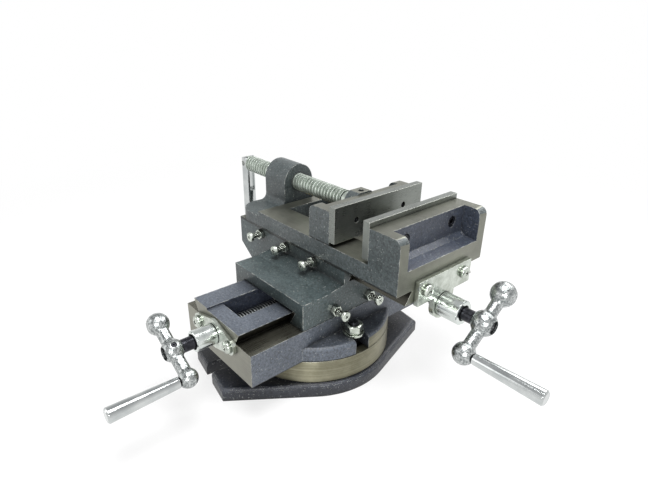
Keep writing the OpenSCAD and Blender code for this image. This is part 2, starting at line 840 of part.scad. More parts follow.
module upper_gib() {
    foot = top_way_foot + gib_margin;
    top = saddle_top - gib_margin;
    y0 = vise_y - top_root - slide_fit;
    color(bare_iron) along_x(wing_x + gib_margin, saddle_x - gib_margin) polygon([
        [y0 - (saddle_top - foot) * flank, foot], [y0 - (saddle_top - top) * flank, top],
        [y0 - gib_run - (saddle_top - top) * flank, top],
        [y0 - gib_run - (saddle_top - foot) * flank, foot]
    ]);
}

// A gib screw along +Z from its tip at the gib, through a wall of the given depth
module gib_screw(wall) {
    head_z = wall + gib_screw_out - gib_head_h;
    cylinder(d = gib_screw_d, h = head_z + skin);
    translate([0, 0, head_z]) cylinder(d = gib_head_d, h = gib_head_h);
}

module at_lower_gib_screws(x) {
    for (y = low_gib_ys) translate([x, y, low_gib_z]) rotate([0, 90, 0]) children();
}

module at_upper_gib_screws(y) {
    for (x = up_gib_xs) translate([x, y, up_gib_z]) rotate([90, 0, 0]) children();
}

module lower_gib_screws() {
    x = low_gib_x + gib_tip_gap;
    color(zinc) at_lower_gib_screws(x) gib_screw(saddle_x - x);
}

module lower_gib_lock_nuts() {
    color(zinc) at_lower_gib_screws(saddle_x)
        hex_nut(gib_nut_af, gib_nut_h, gib_screw_d + 2 * screw_fit);
}

module upper_gib_screws() {
    y = up_gib_y - gib_tip_gap;
    color(zinc) at_upper_gib_screws(y) gib_screw(y - block_y0);
}

module upper_gib_lock_nuts() {
    color(zinc) at_upper_gib_screws(block_y0)
        hex_nut(gib_nut_af, gib_nut_h, gib_screw_d + 2 * screw_fit);
}

// Feed nuts

module bottom_feed_nut() {
    hole_l = post_screw_l - nut_post_cover + cut;
    color(bronze) translate([0, bed_nut_y, 0]) difference() {
        union() {
            translate([-bed_nut_half, -nut_l / 2, bed_nut_foot])
                cube([2 * bed_nut_half, nut_l, ceiling - bed_nut_foot]);
            translate([0, 0, ceiling - cut])
                cylinder(d = nut_post_d, h = nut_post_top - ceiling + cut);
        }
        translate([0, 0, bed_screw_z]) rod_y(-nut_l, nut_l, bed_screw_d + 2 * run_fit);
        translate([0, 0, nut_post_top - hole_l])
            cylinder(d = nut_screw_d + 2 * screw_fit, h = hole_l + cut);
    }
}

module bottom_feed_nut_screw() {
    color(black) translate([0, bed_nut_y, floor_z])
        flat_screw(nut_screw_d, nut_screw_head_d, post_screw_l);
}

// The upper nut is a block under a flange that lies flush in the floor of the saddle
module top_nut_blank(grow) {
    translate([-nut_l / 2 - grow, -top_nut_half - grow, top_nut_foot])
        cube([nut_l + 2 * grow, 2 * (top_nut_half + grow), floor_z - top_nut_foot]);
    translate([-nut_l / 2 - grow, -top_nut_flange - grow, floor_z - top_nut_flange_t])
        cube([nut_l + 2 * grow, 2 * (top_nut_flange + grow), top_nut_flange_t + grow]);
}

module top_feed_nut() {
    color(bronze) translate([top_nut_x, vise_y, 0]) difference() {
        top_nut_blank(0);
        translate([0, 0, top_screw_z]) rod_x(-nut_l, nut_l, top_screw_d + 2 * run_fit);
        for (side = [-1, 1]) translate([0, side * top_nut_screw_y, floor_z])
            flat_screw_hole(top_nut_flange_t);
    }
}

module top_feed_nut_screws() {
    color(black) for (side = [-1, 1])
        translate([top_nut_x, vise_y + side * top_nut_screw_y, floor_z])
            flat_screw(nut_screw_d, nut_screw_head_d, nut_screw_l);
}

// Vise body

// The body seen from above, with two round corners on the left
module body_outline() {
    translate([body_x0 + body_corner, -body_w / 2]) square([body_len - body_corner, body_w]);
    translate([body_x0, -body_w / 2 + body_corner]) square([body_len, body_w - 2 * body_corner]);
    for (side = [-1, 1])
        translate([body_x0 + body_corner, side * (body_w / 2 - body_corner)]) circle(body_corner);
}

// The lug's outline: a round head on a stem that flares into the casting
module lug_outline() {
    translate([0, vise_screw_z]) circle(d = lug_w);
    translate([-lug_w / 2, cast_top - cut]) square([lug_w, vise_screw_z - cast_top + cut]);
    for (side = [-1, 1]) difference() {
        translate([side * (lug_w / 2 + lug_fillet / 2), cast_top + lug_fillet / 2 - cut / 2])
            square([lug_fillet + 2 * skin, lug_fillet + cut], center = true);
        translate([side * (lug_w / 2 + lug_fillet), cast_top + lug_fillet]) circle(lug_fillet);
    }
}

// The hollow behind a jaw, as an X-Z outline: wall is its front, rear its open side
module jaw_pocket_outline(wall, rear) {
    way = sign(rear - wall);
    polygon([
        [wall, jaw_top + cut], [wall, rail_top + pocket_lip + pocket_ramp],
        [wall + way * pocket_ramp, rail_top + pocket_lip + pocket_ramp_foot],
        [rear + way * cut, rail_top + pocket_lip], [rear + way * cut, jaw_top + cut]
    ]);
}

// What is cut off to round the rear top corner of a jaw
module jaw_corner_outline(rear, way) {
    difference() {
        translate([rear - way * jaw_round / 2 + way * cut / 2, jaw_top - jaw_round / 2 + cut / 2])
            square(jaw_round + cut, center = true);
        translate([rear - way * jaw_round, jaw_top - jaw_round]) circle(jaw_round);
    }
}

module jaw_screw_bores(x0, x1, d) {
    for (side = [-1, 1]) translate([0, side * plate_pitch / 2, plate_screw_z]) rod_x(x0, x1, d);
}

module body_blank() {
    translate([0, 0, saddle_top]) linear_extrude(body_t) body_outline();
    along_x(way_x0, body_end) polygon([
        [-top_root, saddle_top + cut], [-top_root, saddle_top], [-top_foot, top_way_foot],
        [top_foot, top_way_foot], [top_root, saddle_top], [top_root, saddle_top + cut]
    ]);
    translate([body_end - jaw_t, -body_w / 2, rail_top - cut])
        cube([jaw_t, body_w, jaw_h + cut]);
}

module vise_body() {
    wall_x = body_end - jaw_t + jaw_wall;
    rib_y = body_w / 2 - jaw_rib;
    color(paint) translate([0, vise_y, 0]) difference() {
        union() {
            difference() {
                body_blank();
                translate([body_x0 - cut, -body_w, cast_top])
                    cube([rails_x0 - body_x0 + cut, 2 * body_w, rail_step + cut]);
            }
            along_x(body_x0, lug_x1) lug_outline();
        }
        // Slot between the rails, with an undercut for the jaw keeper
        translate([slot_x0, -slot_half, top_way_foot - cut])
            cube([slot_x1 - slot_x0, 2 * slot_half, rail_top - top_way_foot + 2 * cut]);
        translate([slot_x0, -pocket_half, top_way_foot - cut])
            cube([slot_x1 - slot_x0, 2 * pocket_half, lip_foot - top_way_foot + cut]);
        // Fixed jaw: hollow back, rounded ribs and counterbored screw holes
        along_y(-rib_y, rib_y) jaw_pocket_outline(wall_x, body_end);
        along_y(-body_w, body_w) jaw_corner_outline(body_end, 1);
        jaw_screw_bores(body_end - jaw_t - cut, body_end, jaw_screw_d + 2 * screw_fit);
        jaw_screw_bores(wall_x - jaw_screw_head_h, body_end, jaw_bore_d);
        translate([0, 0, vise_screw_z])
            rod_x(body_x0 - cut, lug_x1 + cut, vise_screw_d + 2 * run_fit);
        for (side = [-1, 1]) translate([0, side * right_screw_pitch, right_screw_z])
            rod_x(body_end - bearing_screw_l, body_end + cut, bearing_screw_d + 2 * screw_fit);
    }
}

module jaw_plate(face, way) {
    translate([0, vise_y, 0]) difference() {
        translate([way < 0 ? face - plate_t : face, -body_w / 2, plate_foot])
            cube([plate_t, body_w, plate_h]);
        jaw_screw_bores(face - plate_t - cut, face + plate_t + cut, jaw_screw_d + 2 * screw_fit);
    }
}

// A socket screw for a jaw plate along X: the underside of its head is at x, and it points way
module jaw_screws(x, way) {
    reach = jaw_wall - jaw_screw_head_h + plate_t - jaw_screw_short;
    for (side = [-1, 1]) translate([x, vise_y + side * plate_pitch / 2, plate_screw_z])
        mirror([way > 0 ? 0 : 1, 0, 0]) {
            rod_x(-skin, reach, jaw_screw_d);
            rod_x(-jaw_screw_head_h + jaw_head_in, 0, jaw_screw_head_d);
        }
}

module fixed_jaw_plate() {
    color(bare_iron) jaw_plate(fixed_face, 1);
}

module moving_jaw_plate() {
    color(bare_iron) jaw_plate(moving_face, -1);
}

module fixed_jaw_screws() {
    color(black) jaw_screws(body_end - jaw_t + jaw_wall - jaw_screw_head_h, -1);
}

module moving_jaw_screws() {
    color(black) jaw_screws(moving_front - jaw_wall + jaw_screw_head_h, 1);
}

// Right-hand bearing, lead screw and crank

// A plate across the end of the body, with a round lobe that hangs down to the lead screw
module right_plate_outline() {
    translate([-right_plate_half, right_plate_foot])
        square([2 * right_plate_half, right_plate_top - right_plate_foot]);
    translate([0, top_screw_z]) circle(lobe_r);
    translate([-lobe_r, top_screw_z])
        square([2 * lobe_r, right_plate_foot - top_screw_z + cut]);
}

module right_bearing() {
    color(zinc) translate([0, vise_y, 0]) difference() {
        along_x(body_end, right_plate_x) right_plate_outline();
        translate([0, 0, top_screw_z])
            rod_x(body_end - cut, right_plate_x + cut, shaft_d + 2 * run_fit);
        for (side = [-1, 1]) translate([0, side * right_screw_pitch, right_screw_z])
            rod_x(body_end - cut, right_plate_x + cut, bearing_screw_d + 2 * screw_fit);
    }
}

module right_bearing_screws() {
    color(zinc) for (side = [-1, 1])
        translate([right_plate_x, vise_y + side * right_screw_pitch, right_screw_z])
            rotate([0, 90, 0])
                pan_screw(bearing_screw_d, right_plate_t + bearing_screw_l - cut);
}

module top_lead_screw() {
    color(zinc) translate([0, vise_y, top_screw_z]) {
        rod_x(body_x0 + screw_end_gap, body_end - pass_gap, top_screw_d);
        rod_x(body_end - pass_gap - thrust_l, body_end - pass_gap, thrust_d);
        rod_x(body_end - pass_gap - cut, right_hub_x + right_hub_d / 2 - shaft_in, shaft_d);
    }
}

module right_dial() {
    color(zinc) translate([right_plate_x, vise_y, top_screw_z]) rotate([0, 90, 0])
        feed_collar(right_dial_d, right_dial_l);
}

module right_crank() {
    color(chrome) at_right_crank() ball_crank(right_hub_d, right_tip_d, right_pitch);
}

module right_crank_set_screw() {
    color(black) at_right_crank() ball_crank_set_screw(right_hub_d);
}

module right_grip() {
    color(chrome) at_right_crank() ball_crank_grip(right_tip_d, right_pitch, right_grip_l);
}

// Moving jaw

module moving_jaw() {
    wall_x = moving_front - jaw_wall;
    rib_y = body_w / 2 - jaw_rib;
    color(paint) translate([0, vise_y, 0]) difference() {
        union() {
            difference() {
                translate([moving_rear, -body_w / 2, rail_top])
                    cube([moving_jaw_t, body_w, jaw_h]);
                along_y(-rib_y, rib_y) jaw_pocket_outline(wall_x, moving_rear);
                along_y(-body_w, body_w) jaw_corner_outline(moving_rear, -1);
            }
            // Boss that takes the end of the vise screw
            along_x(moving_rear, wall_x + cut) intersection() {
                translate([0, vise_screw_z]) circle(jaw_boss_r);
                translate([-jaw_boss_r, rail_top])
                    square([2 * jaw_boss_r, jaw_boss_top - rail_top]);
            }
            // Tongue that runs in the slot of the body
            translate([tongue_x0, -slot_half + slide_fit, keeper_top])
                cube([tongue_l - tongue_gap, 2 * (slot_half - slide_fit), rail_top - keeper_top + cut]);
        }
        translate([0, 0, vise_screw_z])
            rod_x(moving_rear - cut, moving_rear + spigot_l + pass_gap, spigot_d + 2 * run_fit);
        translate([neck_x, 0, vise_screw_z])
            cylinder(d = lock_d + 2 * screw_fit, h = jaw_h);
        jaw_screw_bores(wall_x - cut, moving_front + cut, jaw_screw_d + 2 * screw_fit);
        jaw_screw_bores(wall_x - cut, wall_x + jaw_screw_head_h, jaw_bore_d);
        for (side = [-1, 1]) translate([keeper_screw_x, side * keeper_screw_y, keeper_top - cut])
            cylinder(d = keeper_screw_d + 2 * screw_fit, h = keeper_screw_in + 2 * cut);
    }
}

module jaw_keeper() {
    color(bare_iron) translate([0, vise_y, 0]) difference() {
        translate([keeper_x0, -pocket_half + pass_gap, keeper_top - keeper_t])
            cube([keeper_l, 2 * (pocket_half - pass_gap), keeper_t]);
        for (side = [-1, 1])
            translate([keeper_screw_x, side * keeper_screw_y, keeper_top - keeper_t - cut])
                cylinder(d = keeper_screw_d + 2 * screw_fit, h = keeper_t + 2 * cut);
    }
}

module jaw_keeper_screws() {
    color(black) for (side = [-1, 1])
        translate([keeper_screw_x, vise_y + side * keeper_screw_y, keeper_top - keeper_t]) {
            translate([0, 0, -keeper_head_h]) cylinder(d = keeper_head_d, h = keeper_head_h);
            translate([0, 0, -cut])
                cylinder(d = keeper_screw_d, h = keeper_t + keeper_screw_in + cut);
        }
}

// A grub screw whose tip sits in the neck of the vise screw and lets it turn
module jaw_lock_screw() {
    tip = vise_screw_z + neck_d / 2 + lock_tip_gap;
    shank = vise_screw_z + spigot_d / 2 + lock_shank_gap;
    color(black) translate([neck_x, vise_y, 0]) {
        translate([0, 0, tip]) cylinder(d = lock_tip_d, h = shank - tip + cut);
        translate([0, 0, shank]) cylinder(d = lock_d, h = jaw_boss_top - lock_in - shank);
    }
}

// Vise screw and folding handle

module vise_screw() {
    color(zinc) translate([0, vise_y, vise_screw_z]) difference() {
        union() {
            rod_x(shoulder_x, moving_rear - pass_gap, vise_screw_d);
            rod_x(moving_rear - pass_gap - cut, neck_x - neck_w / 2, spigot_d);
            rod_x(neck_x - neck_w / 2 - cut, neck_x + neck_w / 2 + cut, neck_d);
            rod_x(neck_x + neck_w / 2, moving_rear + spigot_l, spigot_d);
            along_y(-tongue_t / 2, tongue_t / 2) {
                translate([pin_x, 0]) circle(handle_r);
                translate([pin_x, -handle_r]) square([shoulder_x - pin_x + cut, 2 * handle_r]);
            }
        }
        translate([pin_x, 0, 0]) rod_y(-handle_d, handle_d, handle_pin_d + 2 * run_fit);
    }
}

module vise_handle() {
    edge = 1.5;
    color(chrome) translate([pin_x, vise_y, vise_screw_z]) difference() {
        intersection() {
            rotate_extrude() polygon([
                [0, -handle_len], [handle_r - edge, -handle_len], [handle_r, -handle_len + edge],
                [handle_r, handle_r], [0, handle_r]
            ]);
            // The tines end in a round about the pin
            along_y(-handle_d, handle_d) {
                circle(handle_r);
                translate([-handle_d, -2 * handle_len]) square([2 * handle_d, 2 * handle_len]);
            }
        }
        translate([-handle_d, -fork_w / 2, -fork_l])
            cube([2 * handle_d, fork_w, fork_l + handle_d]);
        rod_y(-handle_d, handle_d, handle_pin_d + 2 * screw_fit);
    }
}

module vise_handle_pin() {
    half = sqrt(pow(handle_r, 2) - pow(handle_pin_d / 2, 2));
    color(bare_iron) translate([pin_x, vise_y, vise_screw_z])
        rod_y(-half, half, handle_pin_d);
}

swivel_base();
bottom_slide();
swivel_t_bolts();
swivel_washers();
swivel_nuts();
front_bearing();
front_bearing_screws();
bottom_lead_screw();
front_collar();
front_crank();
front_crank_set_screw();
front_grip();
saddle();
lower_gib();
lower_gib_screws();
lower_gib_lock_nuts();
upper_gib();
upper_gib_screws();
upper_gib_lock_nuts();
bottom_feed_nut();
bottom_feed_nut_screw();
top_feed_nut();
top_feed_nut_screws();
vise_body();
fixed_jaw_plate();
fixed_jaw_screws();
right_bearing();
right_bearing_screws();
top_lead_screw();
right_dial();
right_crank();
right_crank_set_screw();
right_grip();
moving_jaw();
moving_jaw_plate();
moving_jaw_screws();
jaw_keeper();
jaw_keeper_screws();
jaw_lock_screw();
vise_screw();
vise_handle();
vise_handle_pin();
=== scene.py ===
# %% [markdown]
# A cross slide vise: two dovetail slides at right angles, a drill press vise on top of them,
# and a swivel base below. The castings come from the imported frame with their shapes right, so
# this lesson gives them their finishes, cuts real threads and screw heads where the frame has
# plain rods, and sets up the light and the camera.

# %% Load the frame
import bpy
import math
from mathutils import Matrix, Vector


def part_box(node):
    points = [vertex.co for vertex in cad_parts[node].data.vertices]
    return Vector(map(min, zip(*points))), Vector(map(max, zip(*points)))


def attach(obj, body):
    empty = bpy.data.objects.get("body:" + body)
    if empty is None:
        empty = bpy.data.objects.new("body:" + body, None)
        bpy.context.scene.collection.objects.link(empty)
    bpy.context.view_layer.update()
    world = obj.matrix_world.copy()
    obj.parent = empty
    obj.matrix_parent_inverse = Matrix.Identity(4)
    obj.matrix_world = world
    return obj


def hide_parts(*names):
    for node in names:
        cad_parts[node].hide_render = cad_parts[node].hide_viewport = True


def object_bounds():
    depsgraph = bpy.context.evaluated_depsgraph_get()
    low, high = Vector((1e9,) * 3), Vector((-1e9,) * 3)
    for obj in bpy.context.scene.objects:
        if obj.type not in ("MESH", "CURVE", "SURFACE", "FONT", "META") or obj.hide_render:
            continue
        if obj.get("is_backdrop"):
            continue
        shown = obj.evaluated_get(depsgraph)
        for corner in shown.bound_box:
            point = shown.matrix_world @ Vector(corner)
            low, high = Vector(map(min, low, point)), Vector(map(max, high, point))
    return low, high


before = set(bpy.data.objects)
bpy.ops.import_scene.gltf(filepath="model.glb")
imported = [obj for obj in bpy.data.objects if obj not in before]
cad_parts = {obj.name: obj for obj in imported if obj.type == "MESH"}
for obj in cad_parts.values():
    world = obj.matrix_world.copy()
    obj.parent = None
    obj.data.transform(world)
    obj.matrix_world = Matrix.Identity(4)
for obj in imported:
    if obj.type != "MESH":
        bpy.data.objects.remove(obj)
cad_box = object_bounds()
scene = bpy.context.scene
scene.view_settings.view_transform = "Standard"
MM = 0.001


def box_mm(node):
    lo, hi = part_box(node)
    return lo / MM, hi / MM


def middle(node):
    lo, hi = box_mm(node)
    return (lo + hi) / 2


# %% [markdown]
# The camera stands where the photographer stood: above and to the right of the near corner,
# close, with a wide lens. Its place and its three directions were worked out from the edges of
# the slides, which run along the three axes, so the render lies on the photograph. Writing the
# directions as the columns of a matrix saves turning the camera by hand.

# %% Camera
camera_right = Vector((0.65775, 0.75312, 0.01361))
camera_up = Vector((-0.32072, 0.26366, 0.90974))
camera_back = Vector((0.68155, -0.60274, 0.41496))
camera_place = Vector((280.94, -235.86, 266.78)) * MM
bpy.ops.object.camera_add(location=camera_place)
camera = bpy.context.object
camera.name = "photo_camera"
camera.data.sensor_width = 36
camera.data.lens = 27.47
camera.matrix_world = Matrix.Translation(camera_place) @ Matrix(
    (camera_right, camera_up, camera_back)).transposed().to_4x4()
scene.camera = camera
print("camera at", [round(v, 3) for v in camera_place])

# %% [markdown]
# Two helpers serve every finish. Colours are written as they are read off a screen, and one
# function turns them to the linear numbers that the shader works in. The other adds a node,
# sets its options, and fills or links its inputs, so a material reads from top to bottom. All
# kinds of shader node begin with the same word, which the helper puts in front. Where an input
# is given a whole node, the first of that node's outputs that is in use is linked.

# %% Helpers for the finishes
def colour(code):
    channels = [int(code[i:i + 2], 16) / 255 for i in (1, 3, 5)]
    linear = [c / 12.92 if c <= 0.04045 else ((c + 0.055) / 1.055) ** 2.4 for c in channels]
    return linear + [1.0]


def add(tree, kind, inputs=None, **settings):
    made = tree.nodes.new("ShaderNode" + kind)
    for option, value in settings.items():
        setattr(made, option, value)
    for key, value in (inputs or {}).items():
        if isinstance(value, bpy.types.Node):
            value = next(output for output in value.outputs if output.enabled)
        if isinstance(value, bpy.types.NodeSocket):
            tree.links.new(value, made.inputs[key])
        else:
            made.inputs[key].default_value = value
    return made


def new_finish(name):
    finish = bpy.data.materials.new(name)
    finish.use_nodes = True
    finish.node_tree.nodes.clear()
    return finish, finish.node_tree


def set_ramp(ramp, stops):
    """Puts two (place, colour) stops on a colour ramp."""
    for element, (place, tint) in zip(ramp.color_ramp.elements, stops):
        element.position = place
        element.color = tint


print("slate", [round(c, 3) for c in colour("#575d66")])

# %% [markdown]
# The castings are grey iron with a brushed-on machine enamel. Sand casting leaves a grain that
# shows through the paint, the coat is thicker in some places than in others, and fine pale
# specks catch the light. It could be one colour with a bump, but the specks are what makes it
# read as cast iron. A Bevel node softens the edges and finds where they are, and an Ambient
# Occlusion node tells inner corners from outer ones. So inner corners and nooks are darkened as
# painted shade, and outer edges are rubbed bare. Where two castings meet, a dark seam shows,
# part old oil and part painted shadow under the edge of the upper casting.

# %% Machine enamel
def machine_enamel(name, coat, shade, gloss, grain, seam, spread, deepest_nook_shade):
    """Makes a paint. Its dark seam, of oil and painted shadow, has a height and a spread in
    millimetres.
    """
    finish, tree = new_finish(name)
    place = add(tree, "TexCoord").outputs["Object"]
    # Drifts of the coat, about 25 mm across
    drift = add(tree, "TexNoise", {"Vector": place, "Scale": 40.0, "Detail": 4.0})
    tone = add(tree, "ValToRGB", {"Fac": drift})
    set_ramp(tone, [(0.34, colour(shade)), (0.66, colour(coat))])
    # Sand grain, 0.3 mm on the real casting, drawn at 1.7 mm so that it shows
    sand = add(tree, "TexNoise", {"Vector": place, "Scale": 600.0, "Detail": 5.0,
                                  "Roughness": 0.7})
    grit = add(tree, "MapRange", {"Value": sand, "From Min": 0.32, "From Max": 0.68,
                                  "To Min": 0.42, "To Max": 1.58})
    # Painted shade in inner corners and where parts touch, over 5 mm
    hidden = add(tree, "AmbientOcclusion", {"Distance": 0.005}, samples=4).outputs["AO"]
    corner_shade = add(tree, "MapRange", {"Value": hidden, "From Min": 0.3, "From Max": 0.9,
                                   "To Min": 0.5})
    # Dark seam to the next casting: old oil, widened as painted shadow under that casting's edge
    height = add(tree, "SeparateXYZ", {"Vector": place}).outputs["Z"]
    off_seam = add(tree, "Math", {0: height, 1: seam * MM}, operation="SUBTRACT")
    off_seam = add(tree, "Math", {0: off_seam}, operation="ABSOLUTE")
    seam_oil_and_shadow = add(tree, "MapRange", {"Value": off_seam, "From Min": spread * MM,
                                 "From Max": 1.5 * spread * MM, "To Min": 0.12})
    painted_shade = add(tree, "Math", {0: corner_shade, 1: seam_oil_and_shadow}, operation="MULTIPLY")
    # Painted shade in nooks that light hardly reaches, over 30 mm
    nook = add(tree, "AmbientOcclusion", {"Distance": 0.03}, samples=6).outputs["AO"]
    nook_shade = add(tree, "MapRange", {"Value": nook, "From Min": 0.45, "From Max": 0.92,
                                   "To Min": deepest_nook_shade})
    painted_shade = add(tree, "Math", {0: painted_shade, 1: nook_shade}, operation="MULTIPLY")
    # The painted shade of corners, seam and nooks darkens the grained coat
    depth = add(tree, "Math", {0: painted_shade, 1: grit}, operation="MULTIPLY")
    grained_and_shaded = add(tree, "Mix", {"Factor": 1.0, "A": tone, "B": depth},
                  data_type="RGBA", blend_type="MULTIPLY")
    # Edges: the softened normal leaves the flat one where two faces meet
    soft = add(tree, "Bevel", {"Radius": 0.001}, samples=4)
    flat = add(tree, "NewGeometry").outputs["Normal"]
    turn = add(tree, "VectorMath", {0: soft, 1: flat}, operation="DOT_PRODUCT")
    edge = add(tree, "MapRange", {"Value": turn, "From Min": 0.985, "From Max": 0.90})
    outer = add(tree, "MapRange", {"Value": hidden, "From Min": 0.85, "From Max": 0.97})
    rubbed = add(tree, "Math", {0: edge, 1: outer}, operation="MULTIPLY")
    scuff = add(tree, "TexNoise", {"Vector": place, "Scale": 260.0, "Detail": 5.0})
    scuff = add(tree, "MapRange", {"Value": scuff, "From Min": 0.46, "From Max": 0.58})
    worn = add(tree, "Math", {0: rubbed, 1: scuff}, operation="MULTIPLY")
    worn = add(tree, "Math", {0: worn, 1: seam_oil_and_shadow}, operation="MULTIPLY")
    # Pale specks of about 1.4 mm, besides the worn edges
    fleck = add(tree, "TexNoise", {"Vector": place, "Scale": 720.0, "Detail": 2.0})
    fleck = add(tree, "MapRange", {"Value": fleck, "From Min": 0.64, "From Max": 0.74,
                                   "To Max": 0.42})
    bare = add(tree, "Math", {0: worn, 1: fleck}, operation="MAXIMUM")
    tinted = add(tree, "Mix", {"Factor": bare, "A": grained_and_shaded, "B": colour("#b5b7b2")},
                 data_type="RGBA")
    bump = add(tree, "Bump", {"Height": sand, "Strength": grain, "Distance": 0.0008,
                              "Normal": soft})
    dull = add(tree, "MapRange", {"Value": sand, "To Min": gloss - 0.10,
                                  "To Max": gloss + 0.10})
    paint = add(tree, "BsdfPrincipled", {"Base Color": tinted, "Roughness": dull,
                                         "Normal": bump})
    add(tree, "OutputMaterial", {"Surface": paint})
    return finish


boss_seam = box_mm("swivel_base")[1].z
body_seam = box_mm("saddle")[1].z
plate_foot = 3
jaw_seam = box_mm("fixed_jaw_plate")[0].z - plate_foot
charcoal_enamel = machine_enamel("charcoal_enamel", "#31353f", "#252932", gloss=0.38, grain=0.45,
                                 seam=0, spread=0.45, deepest_nook_shade=0.3)
slate_enamel = machine_enamel("slate_enamel", "#575d66", "#484e57", gloss=0.40, grain=0.35,
                              seam=boss_seam, spread=0.45, deepest_nook_shade=0.2)
green_enamel = machine_enamel("green_grey_enamel", "#475253", "#3b4546", gloss=0.36, grain=0.22,
                              seam=body_seam, spread=1.6, deepest_nook_shade=0.25)
vise_enamel = machine_enamel("vise_grey_enamel", "#4a5152", "#3d4445", gloss=0.38, grain=0.35,
                             seam=body_seam, spread=0.8, deepest_nook_shade=0.7)
jaw_enamel = machine_enamel("jaw_grey_enamel", "#4a5152", "#3d4445", gloss=0.38, grain=0.35,
                            seam=jaw_seam, spread=0.9, deepest_nook_shade=0.7)
# Hollows get a blue-grey paint, darker than the outer paint as painted shade
shaded_hollow_enamel = machine_enamel("blue_grey_enamel_shaded", "#3c424d", "#313641", gloss=0.36, grain=0.45,
                               seam=body_seam, spread=0.45, deepest_nook_shade=1.0)
print("seams at", [round(seam, 1) for seam in (boss_seam, body_seam, jaw_seam)], "mm")

# %% [markdown]
# Where a cutter has been, the iron is bare: warm grey, half bright, and scored along the way
# the tool went. Stretching a noise along one axis draws those scores. A stretched noise is
# simpler than a wave texture and never looks like a printed pattern. The direction differs from
# face to face, so the stretch is an input of the function. Sliding faces hold old oil, which
# makes the same iron nearly black, and the undersides are given that dark iron as painted shade.

# %% Machined iron
def machined_iron(name, light, dark, rough, scores, depth=0.12, ring=0.0):
    """Makes bare iron. A ring above 0 spreads highlights as grooves around Z do."""
    finish, tree = new_finish(name)
    place = add(tree, "TexCoord").outputs["Object"]
    along = add(tree, "Mapping", {"Vector": place, "Scale": scores})
    score = add(tree, "TexNoise", {"Vector": along, "Scale": 1.0, "Detail": 4.0})
    # Stains and oil, about 30 mm across
    stain = add(tree, "TexNoise", {"Vector": place, "Scale": 33.0, "Detail": 6.0,
                                   "Roughness": 0.65})
    both = add(tree, "Mix", {"Factor": 0.6, "A": score, "B": stain})
    tone = add(tree, "ValToRGB", {"Fac": both})
    set_ramp(tone, [(0.36, colour(dark)), (0.64, colour(light))])
    # Edges that the hand has polished, lightened further as a painted highlight
    soft = add(tree, "Bevel", {"Radius": 0.0006}, samples=4)
    flat = add(tree, "NewGeometry").outputs["Normal"]
    turn = add(tree, "VectorMath", {0: soft, 1: flat}, operation="DOT_PRODUCT")
    edge = add(tree, "MapRange", {"Value": turn, "From Min": 0.985, "From Max": 0.88,
                                  "To Max": 0.45})
    hidden = add(tree, "AmbientOcclusion", {"Distance": 0.004}, samples=4).outputs["AO"]
    outer = add(tree, "MapRange", {"Value": hidden, "From Min": 0.85, "From Max": 0.97})
    polish_and_highlight = add(tree, "Math", {0: edge, 1: outer}, operation="MULTIPLY")
    # Painted shade in inner corners, over 4 mm
    corner_shade = add(tree, "MapRange", {"Value": hidden, "From Min": 0.45, "From Max": 0.8,
                                   "To Min": 0.25})
    corner_shaded = add(tree, "Mix", {"Factor": 1.0, "A": tone, "B": corner_shade},
                data_type="RGBA", blend_type="MULTIPLY")
    tinted = add(tree, "Mix", {"Factor": polish_and_highlight, "A": corner_shaded, "B": colour("#c8c9c0")},
                 data_type="RGBA")
    bump = add(tree, "Bump", {"Height": score, "Strength": depth, "Distance": 0.0003,
                              "Normal": soft})
    dull = add(tree, "MapRange", {"Value": both, "From Min": 0.3, "From Max": 0.7,
                                  "To Min": rough - 0.08, "To Max": rough + 0.08})
    around = add(tree, "Tangent", direction_type="RADIAL", axis="Z")
    iron = add(tree, "BsdfPrincipled", {"Base Color": tinted, "Metallic": 0.9,
                                        "Roughness": dull, "Normal": bump,
                                        "Anisotropic": ring, "Tangent": around,
                                        "Anisotropic Rotation": 0.25})
    add(tree, "OutputMaterial", {"Surface": iron})
    return finish


# Scores per metre on each axis: few along the cut, many across it
along_x = (60.0, 2600.0, 2600.0)
along_y = (2600.0, 60.0, 2600.0)
short_along_y = (2600.0, 160.0, 2600.0)
around_z = (12.0, 12.0, 1100.0)
milled_bed = machined_iron("milled_iron_of_the_bed", "#77766b", "#5c5b52", 0.28, along_y)
milled_end = machined_iron("milled_iron_of_the_ends", "#97978b", "#807f76", 0.42, along_x,
                           depth=0.18)
milled_rail = machined_iron("milled_iron_of_the_rails", "#8a8b80", "#6c6d64", 0.34, along_x)
turned_boss = machined_iron("turned_iron_of_the_boss", "#94917d", "#55533f", 0.34, around_z,
                            depth=0.15, ring=0.9)
# Nearly black iron: oil on the ways, and painted shade on the undersides
oily_and_shaded_iron = machined_iron("oily_and_shaded_iron_of_the_ways", "#45443d", "#2b2a26", 0.32, along_x)
ground_steel = machined_iron("ground_steel", "#8e928d", "#757974", 0.30, short_along_y, depth=0.03)
print("bare iron:", [finish.name for finish in (milled_bed, milled_end, milled_rail, turned_boss)])

# %% [markdown]
# Small steel parts are plated. Zinc is a bright, faintly green white with a soft bloom. Chrome
# is laid over a rough casting on the balls, so its mirror is broken by dimples of about 0.8 mm,
# while the turned grips are smooth. The shafts are chemically blackened and oiled, and the
# lower lead screw is bare steel under oil. The feed nuts are cast bronze.

